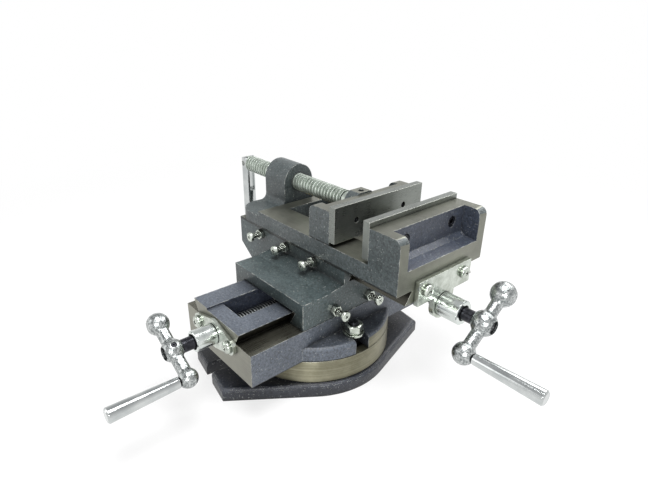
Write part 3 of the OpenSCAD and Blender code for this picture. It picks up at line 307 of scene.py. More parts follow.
# %% Plated and blackened metal
def plated_metal(name, light, dark, rough, bloom, dimple, depth, metallic=1.0):
    """Makes a metal. Bloom and dimple are spots per metre, and depth is that of the dimples."""
    finish, tree = new_finish(name)
    place = add(tree, "TexCoord").outputs["Object"]
    cloud = add(tree, "TexNoise", {"Vector": place, "Scale": bloom, "Detail": 3.0})
    tone = add(tree, "ValToRGB", {"Fac": cloud})
    set_ramp(tone, [(0.35, colour(dark)), (0.65, colour(light))])
    pits = add(tree, "TexNoise", {"Vector": place, "Scale": dimple, "Detail": 2.5})
    soft = add(tree, "Bevel", {"Radius": 0.0003}, samples=4)
    bump = add(tree, "Bump", {"Height": pits, "Strength": depth, "Distance": 0.0008,
                              "Normal": soft})
    dull = add(tree, "MapRange", {"Value": cloud, "To Min": rough - 0.05,
                                  "To Max": rough + 0.07})
    # Painted shade in recesses and between the teeth of threads
    hidden = add(tree, "AmbientOcclusion", {"Distance": 0.0016}, samples=4).outputs["AO"]
    painted_shade = add(tree, "MapRange", {"Value": hidden, "From Min": 0.35, "From Max": 0.85,
                                  "To Min": 0.12})
    tinted = add(tree, "Mix", {"Factor": 1.0, "A": tone, "B": painted_shade},
                 data_type="RGBA", blend_type="MULTIPLY")
    metal = add(tree, "BsdfPrincipled", {"Base Color": tinted, "Metallic": metallic,
                                         "Roughness": dull, "Normal": bump})
    add(tree, "OutputMaterial", {"Surface": metal})
    return finish


bright_zinc = plated_metal("bright_zinc", "#ccd2c9", "#aeb4aa", rough=0.22, bloom=160.0,
                           dimple=900.0, depth=0.05)
turned_zinc = plated_metal("turned_zinc", "#dbe0dd", "#ccd2ce", rough=0.18, bloom=160.0,
                           dimple=900.0, depth=0.02)
screw_zinc = plated_metal("zinc_of_the_screw", "#c2cac2", "#a6aea5", rough=0.36, bloom=160.0,
                          dimple=900.0, depth=0.03, metallic=0.85)
cast_chrome = plated_metal("chrome_over_casting", "#c4c7c6", "#787d7d", rough=0.24, bloom=700.0,
                           dimple=1300.0, depth=0.24)
smooth_chrome = plated_metal("smooth_chrome", "#c9cccb", "#b4b8b8", rough=0.13, bloom=90.0,
                             dimple=300.0, depth=0.03)
blackened_steel = plated_metal("blackened_steel", "#3c3d42", "#232428", rough=0.24, bloom=300.0,
                               dimple=1200.0, depth=0.08, metallic=0.85)
oiled_steel = plated_metal("oiled_steel", "#9a9d9d", "#6c6f70", rough=0.30, bloom=300.0,
                           dimple=1200.0, depth=0.05)
cast_bronze = plated_metal("cast_bronze", "#b08d4f", "#8f6f3a", rough=0.35, bloom=120.0,
                           dimple=700.0, depth=0.15)
print("plated:", [metal.name for metal in (bright_zinc, turned_zinc, cast_chrome, smooth_chrome)])

# %% [markdown]
# A casting shows paint on most faces and bare iron on the machined ones. A mask painted in the
# shader would work, but a machinist finishes whole faces, so each face of the casting is given
# its finish by where it lies and which way it looks. One function for each casting names its
# faces in millimetres, and returns the place of the finish in that casting's list.

# %% Places on the castings
# A face counts as near a plane within 0.4 mm, and as square to an axis from 0.9 of its normal on
near = 0.4
square = 0.9
slide_lo, slide_hi = box_mm("bottom_slide")
saddle_lo, saddle_hi = box_mm("saddle")
body_hi = box_mm("vise_body")[1]
plate_lo, plate_hi = box_mm("fixed_jaw_plate")
vise_mid = middle("vise_body").y
base_plate_top = 11.3
flange_rim = 63.8
turned_rim_from = 4
slot_half = 12.5
gib_wall = saddle_lo.x + 20
upper_way_floor = saddle_hi.z - 12
rail_top = jaw_seam
jaw_top = rail_top + 27.7
hollow_half = 41.2
jaw_front = plate_lo.x - 36
jaw_boss_end = plate_lo.x - 52
jaw_boss_roof = rail_top + 15


def give_finishes(name, finishes, choose):
    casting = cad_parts[name].data
    casting.materials.clear()
    for finish in finishes:
        casting.materials.append(finish)
    for face in casting.polygons:
        face.material_index = choose(face.center / MM, face.normal)
    chosen = [face.material_index for face in casting.polygons]
    print(name, "faces per finish:", [chosen.count(i) for i in range(len(finishes))])


print("rails at", round(rail_top, 1), "mm and jaw tops at", round(jaw_top, 1), "mm")

# %% Faces of the base and the slides
def base_faces(c, n):
    return 1 if c.z > base_plate_top or n.z < -square else 0


def slide_faces(c, n):
    if abs(n.y) > square and min(c.y - slide_lo.y, slide_hi.y - c.y) < near:
        return 2
    if n.z > square and c.z > saddle_lo.z - near:
        return 1 if c.z < saddle_lo.z + near else 0
    # The walls of the slot take the darker hollow paint, as painted shade
    if abs(c.x) < slot_half + near and abs(n.z) < 0.5 and c.z > boss_seam:
        return 5
    radius = math.hypot(c.x, c.y)
    outward = (c.x * n.x + c.y * n.y) / radius
    if c.y > turned_rim_from and radius > flange_rim and outward > 0.95:
        return 4
    # Faces that look down take the dark oily iron, partly as painted shade
    return 3 if n.z < -0.2 else 0


def saddle_faces(c, n):
    if n.z > square and c.z > saddle_hi.z - near:
        return 1
    sloping = -0.95 < n.z < -0.2 and abs(n.x) + abs(n.y) > 0.3
    way = sloping and c.x > gib_wall
    floor_of_way = n.z > square and c.z > upper_way_floor
    # The ways and the faces that look down take the dark oily iron, partly as painted shade
    return 2 if way or floor_of_way or n.z < -0.95 else 0


give_finishes("swivel_base", [charcoal_enamel, turned_boss], base_faces)
give_finishes("bottom_slide", [slate_enamel, milled_bed, milled_end, oily_and_shaded_iron, turned_boss,
                               shaded_hollow_enamel], slide_faces)
give_finishes("saddle", [green_enamel, milled_rail, oily_and_shaded_iron], saddle_faces)

# %% Faces of the vise
def body_faces(c, n):
    rail = n.z > square and abs(c.z - rail_top) < near
    jaw_back = n.x > square and c.x > body_hi.x - near
    crown = n.z > square and abs(c.z - jaw_top) < near
    front = n.x < -square and abs(c.x - plate_hi.x) < near
    behind_plate = plate_hi.x + 1 < c.x and c.z > rail_top + 2
    hollow = behind_plate and abs(c.y - vise_mid) < hollow_half
    if hollow and not jaw_back and not (n.z > square and c.z > jaw_top - near):
        return 3
    if rail or jaw_back or crown or front:
        return 1
    # Ways below the saddle's top and faces that look down take the dark oily iron, partly as
    # painted shade
    return 2 if c.z < saddle_hi.z - 0.1 or n.z < -square else 0


def jaw_faces(c, n):
    crown = n.z > square and c.z > jaw_top - near
    boss_roof = n.z > square and c.x < jaw_boss_end and c.z > jaw_boss_roof
    front = n.x > square and c.x > jaw_front
    if crown or boss_roof or front:
        return 1
    return 2 if c.z < rail_top + 0.3 else 0


give_finishes("vise_body", [vise_enamel, milled_rail, oily_and_shaded_iron, shaded_hollow_enamel], body_faces)
give_finishes("moving_jaw", [jaw_enamel, milled_rail, oily_and_shaded_iron], jaw_faces)

# %% [markdown]
# The rest of the frame's pieces have one finish each: ground jaw plates, oily gibs, zinc plates
# and washers, chrome cranks and handle, bronze nuts. A list of names under each finish is enough.

# %% Finishes of the single pieces
single_finishes = {
    ground_steel: ["fixed_jaw_plate", "moving_jaw_plate", "vise_handle_pin"],
    oily_and_shaded_iron: ["lower_gib", "upper_gib", "jaw_keeper"],
    bright_zinc: ["swivel_washers", "front_bearing", "right_bearing"],
    turned_zinc: ["front_collar", "right_dial"],
    cast_chrome: ["front_crank", "right_crank"],
    smooth_chrome: ["front_grip", "right_grip", "vise_handle"],
    cast_bronze: ["bottom_feed_nut", "top_feed_nut"],
    blackened_steel: ["bottom_feed_nut_screw", "top_feed_nut_screws"],
}
for finish, names in single_finishes.items():
    for name in names:
        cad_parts[name].data.materials.clear()
        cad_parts[name].data.materials.append(finish)
print("single finishes on", sum(len(names) for names in single_finishes.values()), "nodes")

# %% [markdown]
# Every turned part below starts from a profile drawn point by point, as with the extrude key.
# A plane is merged to one vertex to start from, and each extrude adds the next point. The
# profile is then spun about the Z axis. Pieces are made standing on the origin along Z, and
# moved to their place at the end.

# %% Drawing and spinning a profile
weld = 0.004 * MM


def draw_profile(name, points):
    bpy.ops.object.select_all(action="DESELECT")
    bpy.ops.mesh.primitive_plane_add(size=MM)
    made = bpy.context.object
    made.name = name
    bpy.ops.object.mode_set(mode="EDIT")
    bpy.ops.mesh.select_mode(type="VERT")
    bpy.ops.mesh.select_all(action="SELECT")
    bpy.ops.mesh.merge(type="CENTER")
    last = Vector((points[0][0], 0, points[0][1])) * MM
    bpy.ops.transform.translate(value=last)
    for r, z in points[1:]:
        here = Vector((r, 0, z)) * MM
        bpy.ops.mesh.extrude_vertices_move(TRANSFORM_OT_translate={"value": here - last})
        last = here
    return made


def close_mesh():
    bpy.ops.mesh.select_all(action="SELECT")
    bpy.ops.mesh.remove_doubles(threshold=weld)
    bpy.ops.mesh.normals_make_consistent(inside=False)
    bpy.ops.object.mode_set(mode="OBJECT")


def turned(name, points, steps=40):
    made = draw_profile(name, points)
    bpy.ops.mesh.select_all(action="SELECT")
    bpy.ops.mesh.spin(steps=steps, angle=math.tau, center=(0, 0, 0), axis=(0, 0, 1))
    close_mesh()
    return made


print("points closer than", weld / MM, "mm become one")

# %% [markdown]
# Pieces are put together as on a bench. A Boolean modifier cuts one with another. It can leave
# slivers thinner than a hair that spoil the next cut, so the mesh is welded after each. Join
# makes one object of several. A row of like screws is made once and copied, since copies are
# quicker than cutting each anew. When a piece is done, its place goes into its mesh, it gets its
# finish, it is parented to an empty for the body it rides on, and the plain piece it replaces is
# hidden.

# %% Cutting, joining and copying
def cut_with(made, tool, operation="DIFFERENCE"):
    bpy.ops.object.select_all(action="DESELECT")
    made.select_set(True)
    bpy.context.view_layer.objects.active = made
    cutter = made.modifiers.new("cut", "BOOLEAN")
    cutter.object = tool
    cutter.operation = operation
    cutter.solver = "EXACT"
    bpy.ops.object.modifier_apply(modifier="cut")
    bpy.data.objects.remove(tool)
    bpy.ops.object.mode_set(mode="EDIT")
    close_mesh()
    return made


def joined(name, pieces):
    bpy.ops.object.select_all(action="DESELECT")
    for piece in pieces:
        piece.select_set(True)
    bpy.context.view_layer.objects.active = pieces[0]
    if len(pieces) > 1:
        bpy.ops.object.join()
    pieces[0].name = name
    return pieces[0]


def copies_at(made, places):
    copies = []
    for place in places:
        copy = made.copy()
        copy.data = made.data.copy()
        scene.collection.objects.link(copy)
        copy.matrix_world = place
        copies.append(copy)
    bpy.data.objects.remove(made)
    return copies


print("bench helpers:", [helper.__name__ for helper in (cut_with, joined, copies_at)])

# %% Placing and handing over
smooth_below = math.radians(35)


def stands(x, y, z, towards, turn=0):
    """Where a piece goes: it stands at a point in millimetres, looks along towards, and turns."""
    upright = Vector(towards).to_track_quat("Z", "Y").to_matrix().to_4x4()
    return Matrix.Translation(Vector((x, y, z)) * MM) @ upright @ Matrix.Rotation(turn, 4, "Z")


def hand_over(made, finish, body, node=None):
    bpy.ops.object.select_all(action="DESELECT")
    made.select_set(True)
    bpy.context.view_layer.objects.active = made
    bpy.ops.object.transform_apply(location=True, rotation=True, scale=True)
    bpy.ops.object.shade_smooth_by_angle(angle=smooth_below)
    made.data.materials.clear()
    made.data.materials.append(finish)
    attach(made, body)
    if node:
        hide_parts(node)
    print(made.name, len(made.data.polygons), "faces, rides on", body)


x_axis = (1, 0, 0)
y_axis = (0, 1, 0)
z_axis = (0, 0, 1)
against_x = (-1, 0, 0)
against_y = (0, -1, 0)
against_z = (0, 0, -1)
print("a piece along X:", [round(v, 3) for v in stands(0, 0, 0, x_axis) @ Vector((0, 0, 1))])

# %% [markdown]
# The clamping screw has a trapezoidal thread of 16 mm with a 4 mm pitch. A thread is one tooth
# swept along a helix, which is what the Screw modifier does: the profile of a single pitch goes
# round, climbs one pitch a turn, and its ends meet the next turn. Two bisects then cut the rod
# to length and close its ends.

# %% Helper for threads
crest = 0.34
root = 0.30
flank = (1 - crest - root) / 2


def threaded_rod(name, outer, core, pitch, length, steps=28):
    """Makes a rod with a thread. It starts two turns low and ends high, and is then cut off."""
    tooth = [(core, 0), (core, root), (outer, root + flank), (outer, 1 - flank), (core, 1)]
    made = draw_profile(name, [(d / 2, (share - 2) * pitch) for d, share in tooth])
    bpy.ops.object.mode_set(mode="OBJECT")
    helix = made.modifiers.new("helix", "SCREW")
    helix.axis = "Z"
    helix.angle = math.tau
    helix.screw_offset = pitch * MM
    helix.iterations = int(length / pitch) + 5
    helix.steps = steps
    helix.render_steps = steps
    helix.use_merge_vertices = True
    helix.merge_threshold = weld
    bpy.ops.object.modifier_apply(modifier="helix")
    bpy.ops.object.mode_set(mode="EDIT")
    bpy.ops.mesh.select_all(action="SELECT")
    bpy.ops.mesh.remove_doubles(threshold=weld)
    for height, side in ((0, -1), (length, 1)):
        bpy.ops.mesh.select_all(action="SELECT")
        bpy.ops.mesh.bisect(plane_co=(0, 0, height * MM), plane_no=(0, 0, side),
                            use_fill=True, clear_outer=True, threshold=weld)
    close_mesh()
    return made


print("shares of a pitch: crest", crest, "root", root, "flank", round(flank, 2))

# %% Thread of the clamping screw
screw_lo, screw_hi = box_mm("vise_screw")
screw_z = middle("vise_screw").z
tongue_length = 13.3
shoulder = screw_lo.x + tongue_length
nose_length = 23.6
thread_end = screw_hi.x - nose_length
thread = threaded_rod("clamp_thread", outer=16, core=11.6, pitch=4,
                      length=thread_end - shoulder, steps=40)
thread.matrix_world = stands(shoulder, vise_mid, screw_z, x_axis)
nose = turned("clamp_nose", [
    (0, -0.5), (6.2, -0.5), (7.2, 0.8), (7.2, 10.7), (5.5, 10.7), (5.5, 15), (4.2, 15), (4.2, 19.6),
    (5.5, 19.6), (5.5, nose_length - 0.6), (4.9, nose_length), (0, nose_length)])
nose.matrix_world = stands(thread_end, vise_mid, screw_z, x_axis)
print("clamp thread of", round(thread_end - shoulder, 1), "mm")

# %% [markdown]
# The handle folds on a flat tongue at the end of the screw. The tongue is a cube with its two
# outer edges rounded by a Bevel until they meet in a half circle, and drilled for the pin.

# %% Tongue of the clamping screw
tongue_height = 13
tongue_width = 5.2
pin_d = 5.1
bpy.ops.object.select_all(action="DESELECT")
bpy.ops.mesh.primitive_cube_add(size=1)
tongue = bpy.context.object
tongue_run = tongue_length + 0.3
tongue.scale = Vector((tongue_run, tongue_width, tongue_height)) * MM
tongue.location = Vector((screw_lo.x + tongue_run / 2, vise_mid, screw_z)) * MM
bpy.ops.object.transform_apply(location=True, rotation=False, scale=True)
bpy.ops.object.mode_set(mode="EDIT")
bpy.ops.mesh.select_all(action="DESELECT")
bpy.ops.object.mode_set(mode="OBJECT")
for edge in tongue.data.edges:
    ends = [tongue.data.vertices[v].co for v in edge.vertices]
    edge.select = abs(ends[0].y - ends[1].y) > MM and ends[0].x < (screw_lo.x + 1) * MM
bpy.ops.object.mode_set(mode="EDIT")
bpy.ops.mesh.select_mode(type="EDGE")
bpy.ops.mesh.bevel(offset=(tongue_height / 2 - 0.05) * MM, segments=12)
bpy.ops.object.mode_set(mode="OBJECT")
bpy.ops.object.select_all(action="DESELECT")
bpy.ops.mesh.primitive_cylinder_add(vertices=40, radius=pin_d / 2 * MM, depth=tongue_height * MM)
hole = bpy.context.object
hole.matrix_world = stands(screw_lo.x + tongue_height / 2, vise_mid, screw_z, y_axis)
cut_with(tongue, hole)
clamp_screw = joined("clamp_screw_threaded", [thread, nose, tongue])
hand_over(clamp_screw, screw_zinc, "clamp_screw", "vise_screw")

# %% [markdown]
# The two lead screws have a finer thread, 2.5 mm a turn, and run in bronze nuts under the
# saddle. Only a few teeth of the lower one show, in the slot of the lower slide, and they are
# bare steel under oil. A plain blackened shaft carries each screw out through its bearing and
# collar to the crank. The boxes of the frame's plain rods give every length.

# %% Lower lead screw
lead = 2.5
shaft_r = 5
lo, hi = box_mm("bottom_lead_screw")
start = slide_lo.y + 0.3
low_z = middle("bottom_lead_screw").z
lower_d = hi.x - lo.x
thread = threaded_rod("lower_thread", outer=lower_d, core=lower_d - 3, pitch=lead,
                      length=hi.y - start)
thread.matrix_world = stands(0, start, low_z, y_axis)
run = start - lo.y + 0.5
shaft = turned("lower_shaft", [
    (0, 0), (shaft_r - 0.6, 0), (shaft_r, 0.6), (shaft_r, run), (0, run)])
shaft.matrix_world = stands(0, lo.y, low_z, y_axis)
lower_screw = joined("lower_lead_screw_threaded", [thread, shaft])
hand_over(lower_screw, blackened_steel, "front_feed", "bottom_lead_screw")
lower_screw.data.materials.append(oiled_steel)
for face in lower_screw.data.polygons:
    face.material_index = 1 if face.center.y > start * MM else 0

# %% Upper lead screw
lo, hi = box_mm("top_lead_screw")
high_z = middle("top_lead_screw").z
collar_r = (hi.z - lo.z) / 2
collar_at = body_hi.x - 4.3
thread = threaded_rod("upper_thread", outer=9, core=6.4, pitch=lead, length=collar_at - lo.x)
thread.matrix_world = stands(lo.x, vise_mid, high_z, x_axis)
run = hi.x - collar_at
shaft = turned("upper_shaft", [
    (0, 0), (collar_r - 0.6, 0), (collar_r, 0.6), (collar_r, 3.4), (collar_r - 0.6, 4),
    (shaft_r, 4), (shaft_r, run - 0.6), (shaft_r - 0.6, run), (0, run)])
shaft.matrix_world = stands(collar_at, vise_mid, high_z, x_axis)
upper_screw = joined("upper_lead_screw_threaded", [thread, shaft])
hand_over(upper_screw, blackened_steel, "right_feed", "top_lead_screw")

# %% [markdown]
# The collar of the upper screw is a dial: one turn moves the vise 2.5 mm, so fifty marks stand
# for 0.05 mm each, and every fifth is longer. Each mark is a sliver that is 0.02 mm proud, which
# shows at any distance as an engraved black line would.

# %% Marks of the dial
dial_lo, dial_hi = box_mm("right_dial")
dial_r = (dial_hi.z - dial_lo.z) / 2
marks = 50
mark_width = 0.3
mark_proud = 0.02
short_mark = 2.6
long_mark = 4.2
from_rim = 0.8
slivers = []
for i in range(marks):
    length = long_mark if i % 5 == 0 else short_mark
    bpy.ops.object.select_all(action="DESELECT")
    bpy.ops.mesh.primitive_cube_add(size=1)
    sliver = bpy.context.object
    sliver.scale = Vector((mark_width, mark_width, length)) * MM
    sliver.location = Vector((dial_r + mark_proud - mark_width / 2, 0, length / 2 + from_rim)) * MM
    bpy.ops.object.transform_apply(location=True, rotation=False, scale=True)
    sliver.matrix_world = stands(dial_lo.x, vise_mid, high_z, x_axis, math.tau * i / marks)
    slivers.append(sliver)
hand_over(joined("dial_marks", slivers), blackened_steel, "right_feed")

# %% [markdown]
# Small screws have a cross recess or a socket, which the eye looks for at once. One screw of
# each kind is turned, its recess is cut with a Boolean, and copies of it are put where the plain
# rods of the frame are, whose boxes give the places. No two screws stop at the same angle, so
# the place of a screw in its row also sets its turn.

# %% Cross recess and hexagon socket
flat_to_corner = math.cos(math.pi / 6)


def cross_recess(size, width, depth):
    arms = []
    for turn in (0, math.pi / 2):
        bpy.ops.object.select_all(action="DESELECT")
        bpy.ops.mesh.primitive_cube_add(size=1)
        arm = bpy.context.object
        arm.scale = Vector((size, width, 2 * depth)) * MM
        bpy.ops.object.transform_apply(location=False, rotation=False, scale=True)
        for corner in arm.data.vertices:
            if corner.co.z < 0:
                corner.co.x *= 0.45
                corner.co.y *= 0.8
        arm.rotation_euler.z = turn
        bpy.ops.object.transform_apply(location=False, rotation=True, scale=False)
        arms.append(arm)
    return cut_with(arms[0], arms[1], "UNION")


def hex_socket(across, depth):
    corner = across / 2 / flat_to_corner
    bpy.ops.object.select_all(action="DESELECT")
    bpy.ops.mesh.primitive_cylinder_add(vertices=6, radius=corner * MM, depth=2 * depth * MM)
    return bpy.context.object


def moved_up(tool, height):
    tool.location.z += height * MM
    bpy.context.view_layer.update()
    return tool


print("a hexagon of 8 mm is", round(8 / flat_to_corner, 2), "mm over its corners")

# %% Bearing screws
head_r = 4.75


def pan_head_screw(shank):
    screw = turned("pan_screw", [
        (0, -shank), (2.1, -shank), (2.5, -shank + 0.6), (2.5, 0.9), (head_r - 0.3, 0.9),
        (head_r - 0.05, 1.2), (head_r, 1.7), (4.5, 2.5), (3.8, 3.1), (2.6, 3.5), (1.2, 3.7),
        (0, 3.75)])
    return cut_with(screw, moved_up(cross_recess(size=5.4, width=1.15, depth=1.9), 3.7))


def spring_washer():
    ring = draw_profile("spring_washer", [(2.6, 0), (4.5, 0), (4.5, 1.0), (2.6, 1.0)])
    bpy.ops.mesh.select_all(action="SELECT")
    bpy.ops.mesh.edge_face_add()
    bpy.ops.mesh.select_all(action="SELECT")
    bpy.ops.mesh.spin(steps=36, angle=math.radians(350), center=(0, 0, 0), axis=(0, 0, 1))
    close_mesh()
    return ring


lo, hi = box_mm("front_bearing_screws")
face_y = box_mm("front_bearing")[0].y
screw = joined("bearing_screw", [pan_head_screw(hi.y - face_y), spring_washer()])
row_z = middle("front_bearing_screws").z
places = [stands(x, face_y, row_z, against_y, 1 + x) for x in (lo.x + head_r, hi.x - head_r)]
screws = joined("front_bearing_pan_screws", copies_at(screw, places))
hand_over(screws, bright_zinc, "lower_slide", "front_bearing_screws")

lo, hi = box_mm("right_bearing_screws")
face_x = box_mm("right_bearing")[1].x
screw = joined("bearing_screw", [pan_head_screw(face_x - lo.x), spring_washer()])
row_z = middle("right_bearing_screws").z
places = [stands(face_x, y, row_z, x_axis, 1 + y) for y in (lo.y + head_r, hi.y - head_r)]
screws = joined("right_bearing_pan_screws", copies_at(screw, places))
hand_over(screws, bright_zinc, "vise", "right_bearing_screws")

# %% [markdown]
# The gib screws are set out of the casting by some 14 mm, each with a lock nut against the
# face. Their M5 thread shows between nut and head. A hexagon nut gets its look from the
# chamfer that rounds its corners off, so a hexagon is cut by a turned lens.

# %% Gib screw and lock nut
gib_head_r = 4.25


def gib_screw(length):
    head = turned("gib_head", [
        (0, 0), (3.9, 0), (gib_head_r, 0.35), (gib_head_r, 1.7), (3.9, 2.5), (3.0, 3.0), (0, 3.05)])
    head = cut_with(head, moved_up(cross_recess(size=4.6, width=1.0, depth=1.5), 3.05))
    moved_up(head, length - 3)
    thread = threaded_rod("gib_thread", outer=5, core=4.1, pitch=0.8, length=length - 2.9, steps=20)
    return joined("gib_screw", [thread, head])


def hexagon_nut(across, height, hole):
    corner = across / 2 / flat_to_corner
    bpy.ops.object.select_all(action="DESELECT")
    bpy.ops.mesh.primitive_cylinder_add(vertices=6, radius=corner * MM, depth=height * MM,
                                        location=(0, 0, height / 2 * MM))
    nut = bpy.context.object
    bpy.ops.object.transform_apply()
    flat_r = across * 0.475
    fall = (corner - flat_r) * 0.58
    lens = turned("nut_lens", [
        (0, -0.01), (flat_r, -0.01), (corner + 0.05, fall), (corner + 0.05, height - fall),
        (flat_r, height + 0.01), (0, height + 0.01)], 48)
    nut = cut_with(nut, lens, "INTERSECT")
    bore_r = hole / 2
    bore = turned("nut_bore", [
        (0, -1), (bore_r + 0.9, -1), (bore_r + 0.5, 0), (bore_r, 0.5), (bore_r, height - 0.5),
        (bore_r + 0.5, height), (bore_r + 0.9, height + 1), (0, height + 1)], 32)
    return cut_with(nut, bore)


print("heads of the gib screws are", 2 * gib_head_r, "mm wide")

# %% Lower gib screws
lo, hi = box_mm("lower_gib_screws")
wall = box_mm("lower_gib_lock_nuts")[0].x
row = [lo.y + gib_head_r, (lo.y + hi.y) / 2, hi.y - gib_head_r]
row_z = middle("lower_gib_screws").z
places = [stands(lo.x, y, row_z, x_axis, 0.4 + y) for y in row]
screws = joined("lower_gib_screws_threaded", copies_at(gib_screw(hi.x - lo.x), places))
hand_over(screws, bright_zinc, "cross_saddle", "lower_gib_screws")
places = [stands(wall, y, row_z, x_axis, 0.2 + y) for y in row]
lock_nut = hexagon_nut(across=8, height=4, hole=5.1)
nuts = joined("lower_gib_nuts_chamfered", copies_at(lock_nut, places))
hand_over(nuts, bright_zinc, "cross_saddle", "lower_gib_lock_nuts")

# %% Upper gib screws
lo, hi = box_mm("upper_gib_screws")
wall = box_mm("upper_gib_lock_nuts")[1].y
row = [lo.x + gib_head_r, (lo.x + hi.x) / 2, hi.x - gib_head_r]
row_z = middle("upper_gib_screws").z
places = [stands(x, hi.y, row_z, against_y, 0.7 + x) for x in row]
screws = joined("upper_gib_screws_threaded", copies_at(gib_screw(hi.y - lo.y), places))
hand_over(screws, bright_zinc, "cross_saddle", "upper_gib_screws")
places = [stands(x, wall, row_z, against_y, 0.35 + x) for x in row]
lock_nut = hexagon_nut(across=8, height=4, hole=5.1)
nuts = joined("upper_gib_nuts_chamfered", copies_at(lock_nut, places))
hand_over(nuts, bright_zinc, "cross_saddle", "upper_gib_lock_nuts")

# %% [markdown]
# Two T-bolts hold the slide to the swivel base. Their square heads run in a round T-slot, and
# their black ends stand out of the nuts.

# %% Swivel bolts
lo, hi = box_mm("swivel_t_bolts")
washer_lo, washer_hi = box_mm("swivel_washers")
washer_r = 8.5
bolt_x = washer_hi.x - washer_r
bolt_y = washer_lo.y + washer_r
bolt_angle = math.atan2(bolt_y, bolt_x)
head_side = 14
head_height = 6
bpy.ops.object.select_all(action="DESELECT")
bpy.ops.mesh.primitive_cube_add(size=head_side * MM)
head = bpy.context.object
head.scale.z = head_height / head_side
head.location.z = head_height / 2 * MM
bpy.ops.object.transform_apply()
bpy.ops.object.mode_set(mode="EDIT")
bpy.ops.mesh.select_all(action="SELECT")
bpy.ops.mesh.bevel(offset=0.6 * MM, segments=2)
bpy.ops.object.mode_set(mode="OBJECT")
tip_height = 0.7
shank_height = hi.z - lo.z - head_height - tip_height
shank = threaded_rod("bolt_thread", outer=8, core=6.6, pitch=1.25, length=shank_height + 0.1,
                     steps=24)
moved_up(shank, head_height - 0.1)
tip = turned("bolt_tip", [(0, -0.8), (3.8, -0.8), (3.8, 0), (3.1, tip_height), (0, tip_height)])
moved_up(tip, head_height + shank_height)
bolt = joined("swivel_bolt", [head, shank, tip])
ends = ((bolt_x, bolt_y), (-bolt_x, -bolt_y))
places = [stands(x, y, lo.z, z_axis, bolt_angle) for x, y in ends]
bolts = joined("swivel_bolts_threaded", copies_at(bolt, places))
hand_over(bolts, blackened_steel, "lower_slide", "swivel_t_bolts")

# %% Swivel nuts
nut_lo, nut_hi = box_mm("swivel_nuts")
nut_angle = bolt_angle + math.radians(26)
places = [stands(x, y, nut_lo.z, z_axis, nut_angle) for x, y in ends]
swivel_nut = hexagon_nut(across=13, height=nut_hi.z - nut_lo.z, hole=8.1)
nuts = joined("swivel_nuts_chamfered", copies_at(swivel_nut, places))
hand_over(nuts, bright_zinc, "lower_slide", "swivel_nuts")

# %% [markdown]
# The jaw plates are held by socket head screws from behind, and the keeper under the moving jaw
# by two more. Grub screws fix the cranks to their shafts and keep the clamping screw in the jaw.
# All have a hexagon socket.

# %% Socket screws
def socket_screw(shank_d, shank, head_d, head_h, key):
    shank_r = shank_d / 2
    cap_r = head_d / 2
    screw = turned("socket_screw", [
        (0, -shank), (shank_r - 0.5, -shank), (shank_r, -shank + 0.5), (shank_r, 0), (cap_r, 0),
        (cap_r, head_h - 0.5), (cap_r - 0.5, head_h), (0, head_h)])
    return cut_with(screw, moved_up(hex_socket(key, head_h * 0.6), head_h))


jaw_head_d = 8.5
jaw_head_h = 4.5
for node, body, outward in (("fixed_jaw_screws", "vise", x_axis),
                            ("moving_jaw_screws", "jaw", against_x)):
    lo, hi = box_mm(node)
    seat = hi.x - jaw_head_h if outward == x_axis else lo.x + jaw_head_h
    row_z = middle(node).z
    row = (lo.y + jaw_head_d / 2, hi.y - jaw_head_d / 2)
    places = [stands(seat, y, row_z, outward) for y in row]
    screw = socket_screw(shank_d=5, shank=hi.x - lo.x - jaw_head_h, head_d=jaw_head_d,
                         head_h=jaw_head_h, key=4)
    screws = joined(node + "_socketed", copies_at(screw, places))
    hand_over(screws, blackened_steel, body, node)

keeper_head_d = 10
keeper_head_h = 4
lo, hi = box_mm("jaw_keeper_screws")
row_x = middle("jaw_keeper_screws").x
screw = socket_screw(shank_d=6, shank=hi.z - lo.z - keeper_head_h, head_d=keeper_head_d,
                     head_h=keeper_head_h, key=5)
row = (lo.y + keeper_head_d / 2, hi.y - keeper_head_d / 2)
places = [stands(row_x, y, lo.z + keeper_head_h, against_z) for y in row]
screws = joined("jaw_keeper_screws_socketed", copies_at(screw, places))
hand_over(screws, blackened_steel, "jaw", "jaw_keeper_screws")

# %% Grub screws
def grub_screw(d, length, key, dog_d, dog):
    screw = turned("grub_screw", [
        (0, 0), (dog_d / 2, 0), (dog_d / 2, dog), (d / 2, dog + 0.3), (d / 2, length - 0.3),
        (d / 2 - 0.3, length), (0, length)], 28)
    return cut_with(screw, moved_up(hex_socket(key, length * 0.4), length))


lock = middle("jaw_lock_screw")
lo, hi = box_mm("jaw_lock_screw")
screw = grub_screw(d=5, length=hi.z - lo.z, key=2.5, dog_d=4, dog=1.5)
made = joined("jaw_lock_screw_socketed",
              copies_at(screw, [stands(lock.x, lock.y, lo.z, z_axis)]))
hand_over(made, blackened_steel, "jaw", "jaw_lock_screw")

front_axis = middle("front_collar")
right_axis = middle("right_dial")
for node, body, axis, along in (
        ("front_crank_set_screw", "front_feed", front_axis, Vector(y_axis)),
        ("right_crank_set_screw", "right_feed", right_axis, Vector(x_axis))):
    outward = middle(node) - axis
    outward -= along * outward.dot(along)
    length = 2 * (outward.length - shaft_r)
    foot = middle(node) - outward.normalized() * length / 2
    screw = grub_screw(d=4, length=length, key=2, dog_d=3, dog=0.5)
    made = joined(node + "_socketed", copies_at(screw, [stands(*foot, outward)]))
    hand_over(made, blackened_steel, body, node)

# %% [markdown]
# The cranks are cast, and a pattern maker leaves no sharp inner corner, so their arms run into
# the balls with a hollow curve. Each arm gets a sleeve with such a curve at both ends. That is
# simpler than a blend of the whole crank, and the ends of the sleeve hide inside the balls. The
# grip gives the place of its ball, and the collar gives the axis of the hub.

# %% Hollow curves of the crank arms
neck_r = 4.75
hollow_r = 2.8
front_hub_r = 8.25
front_tip_r = 7
right_hub_r = 9.5
right_tip_r = 8.25


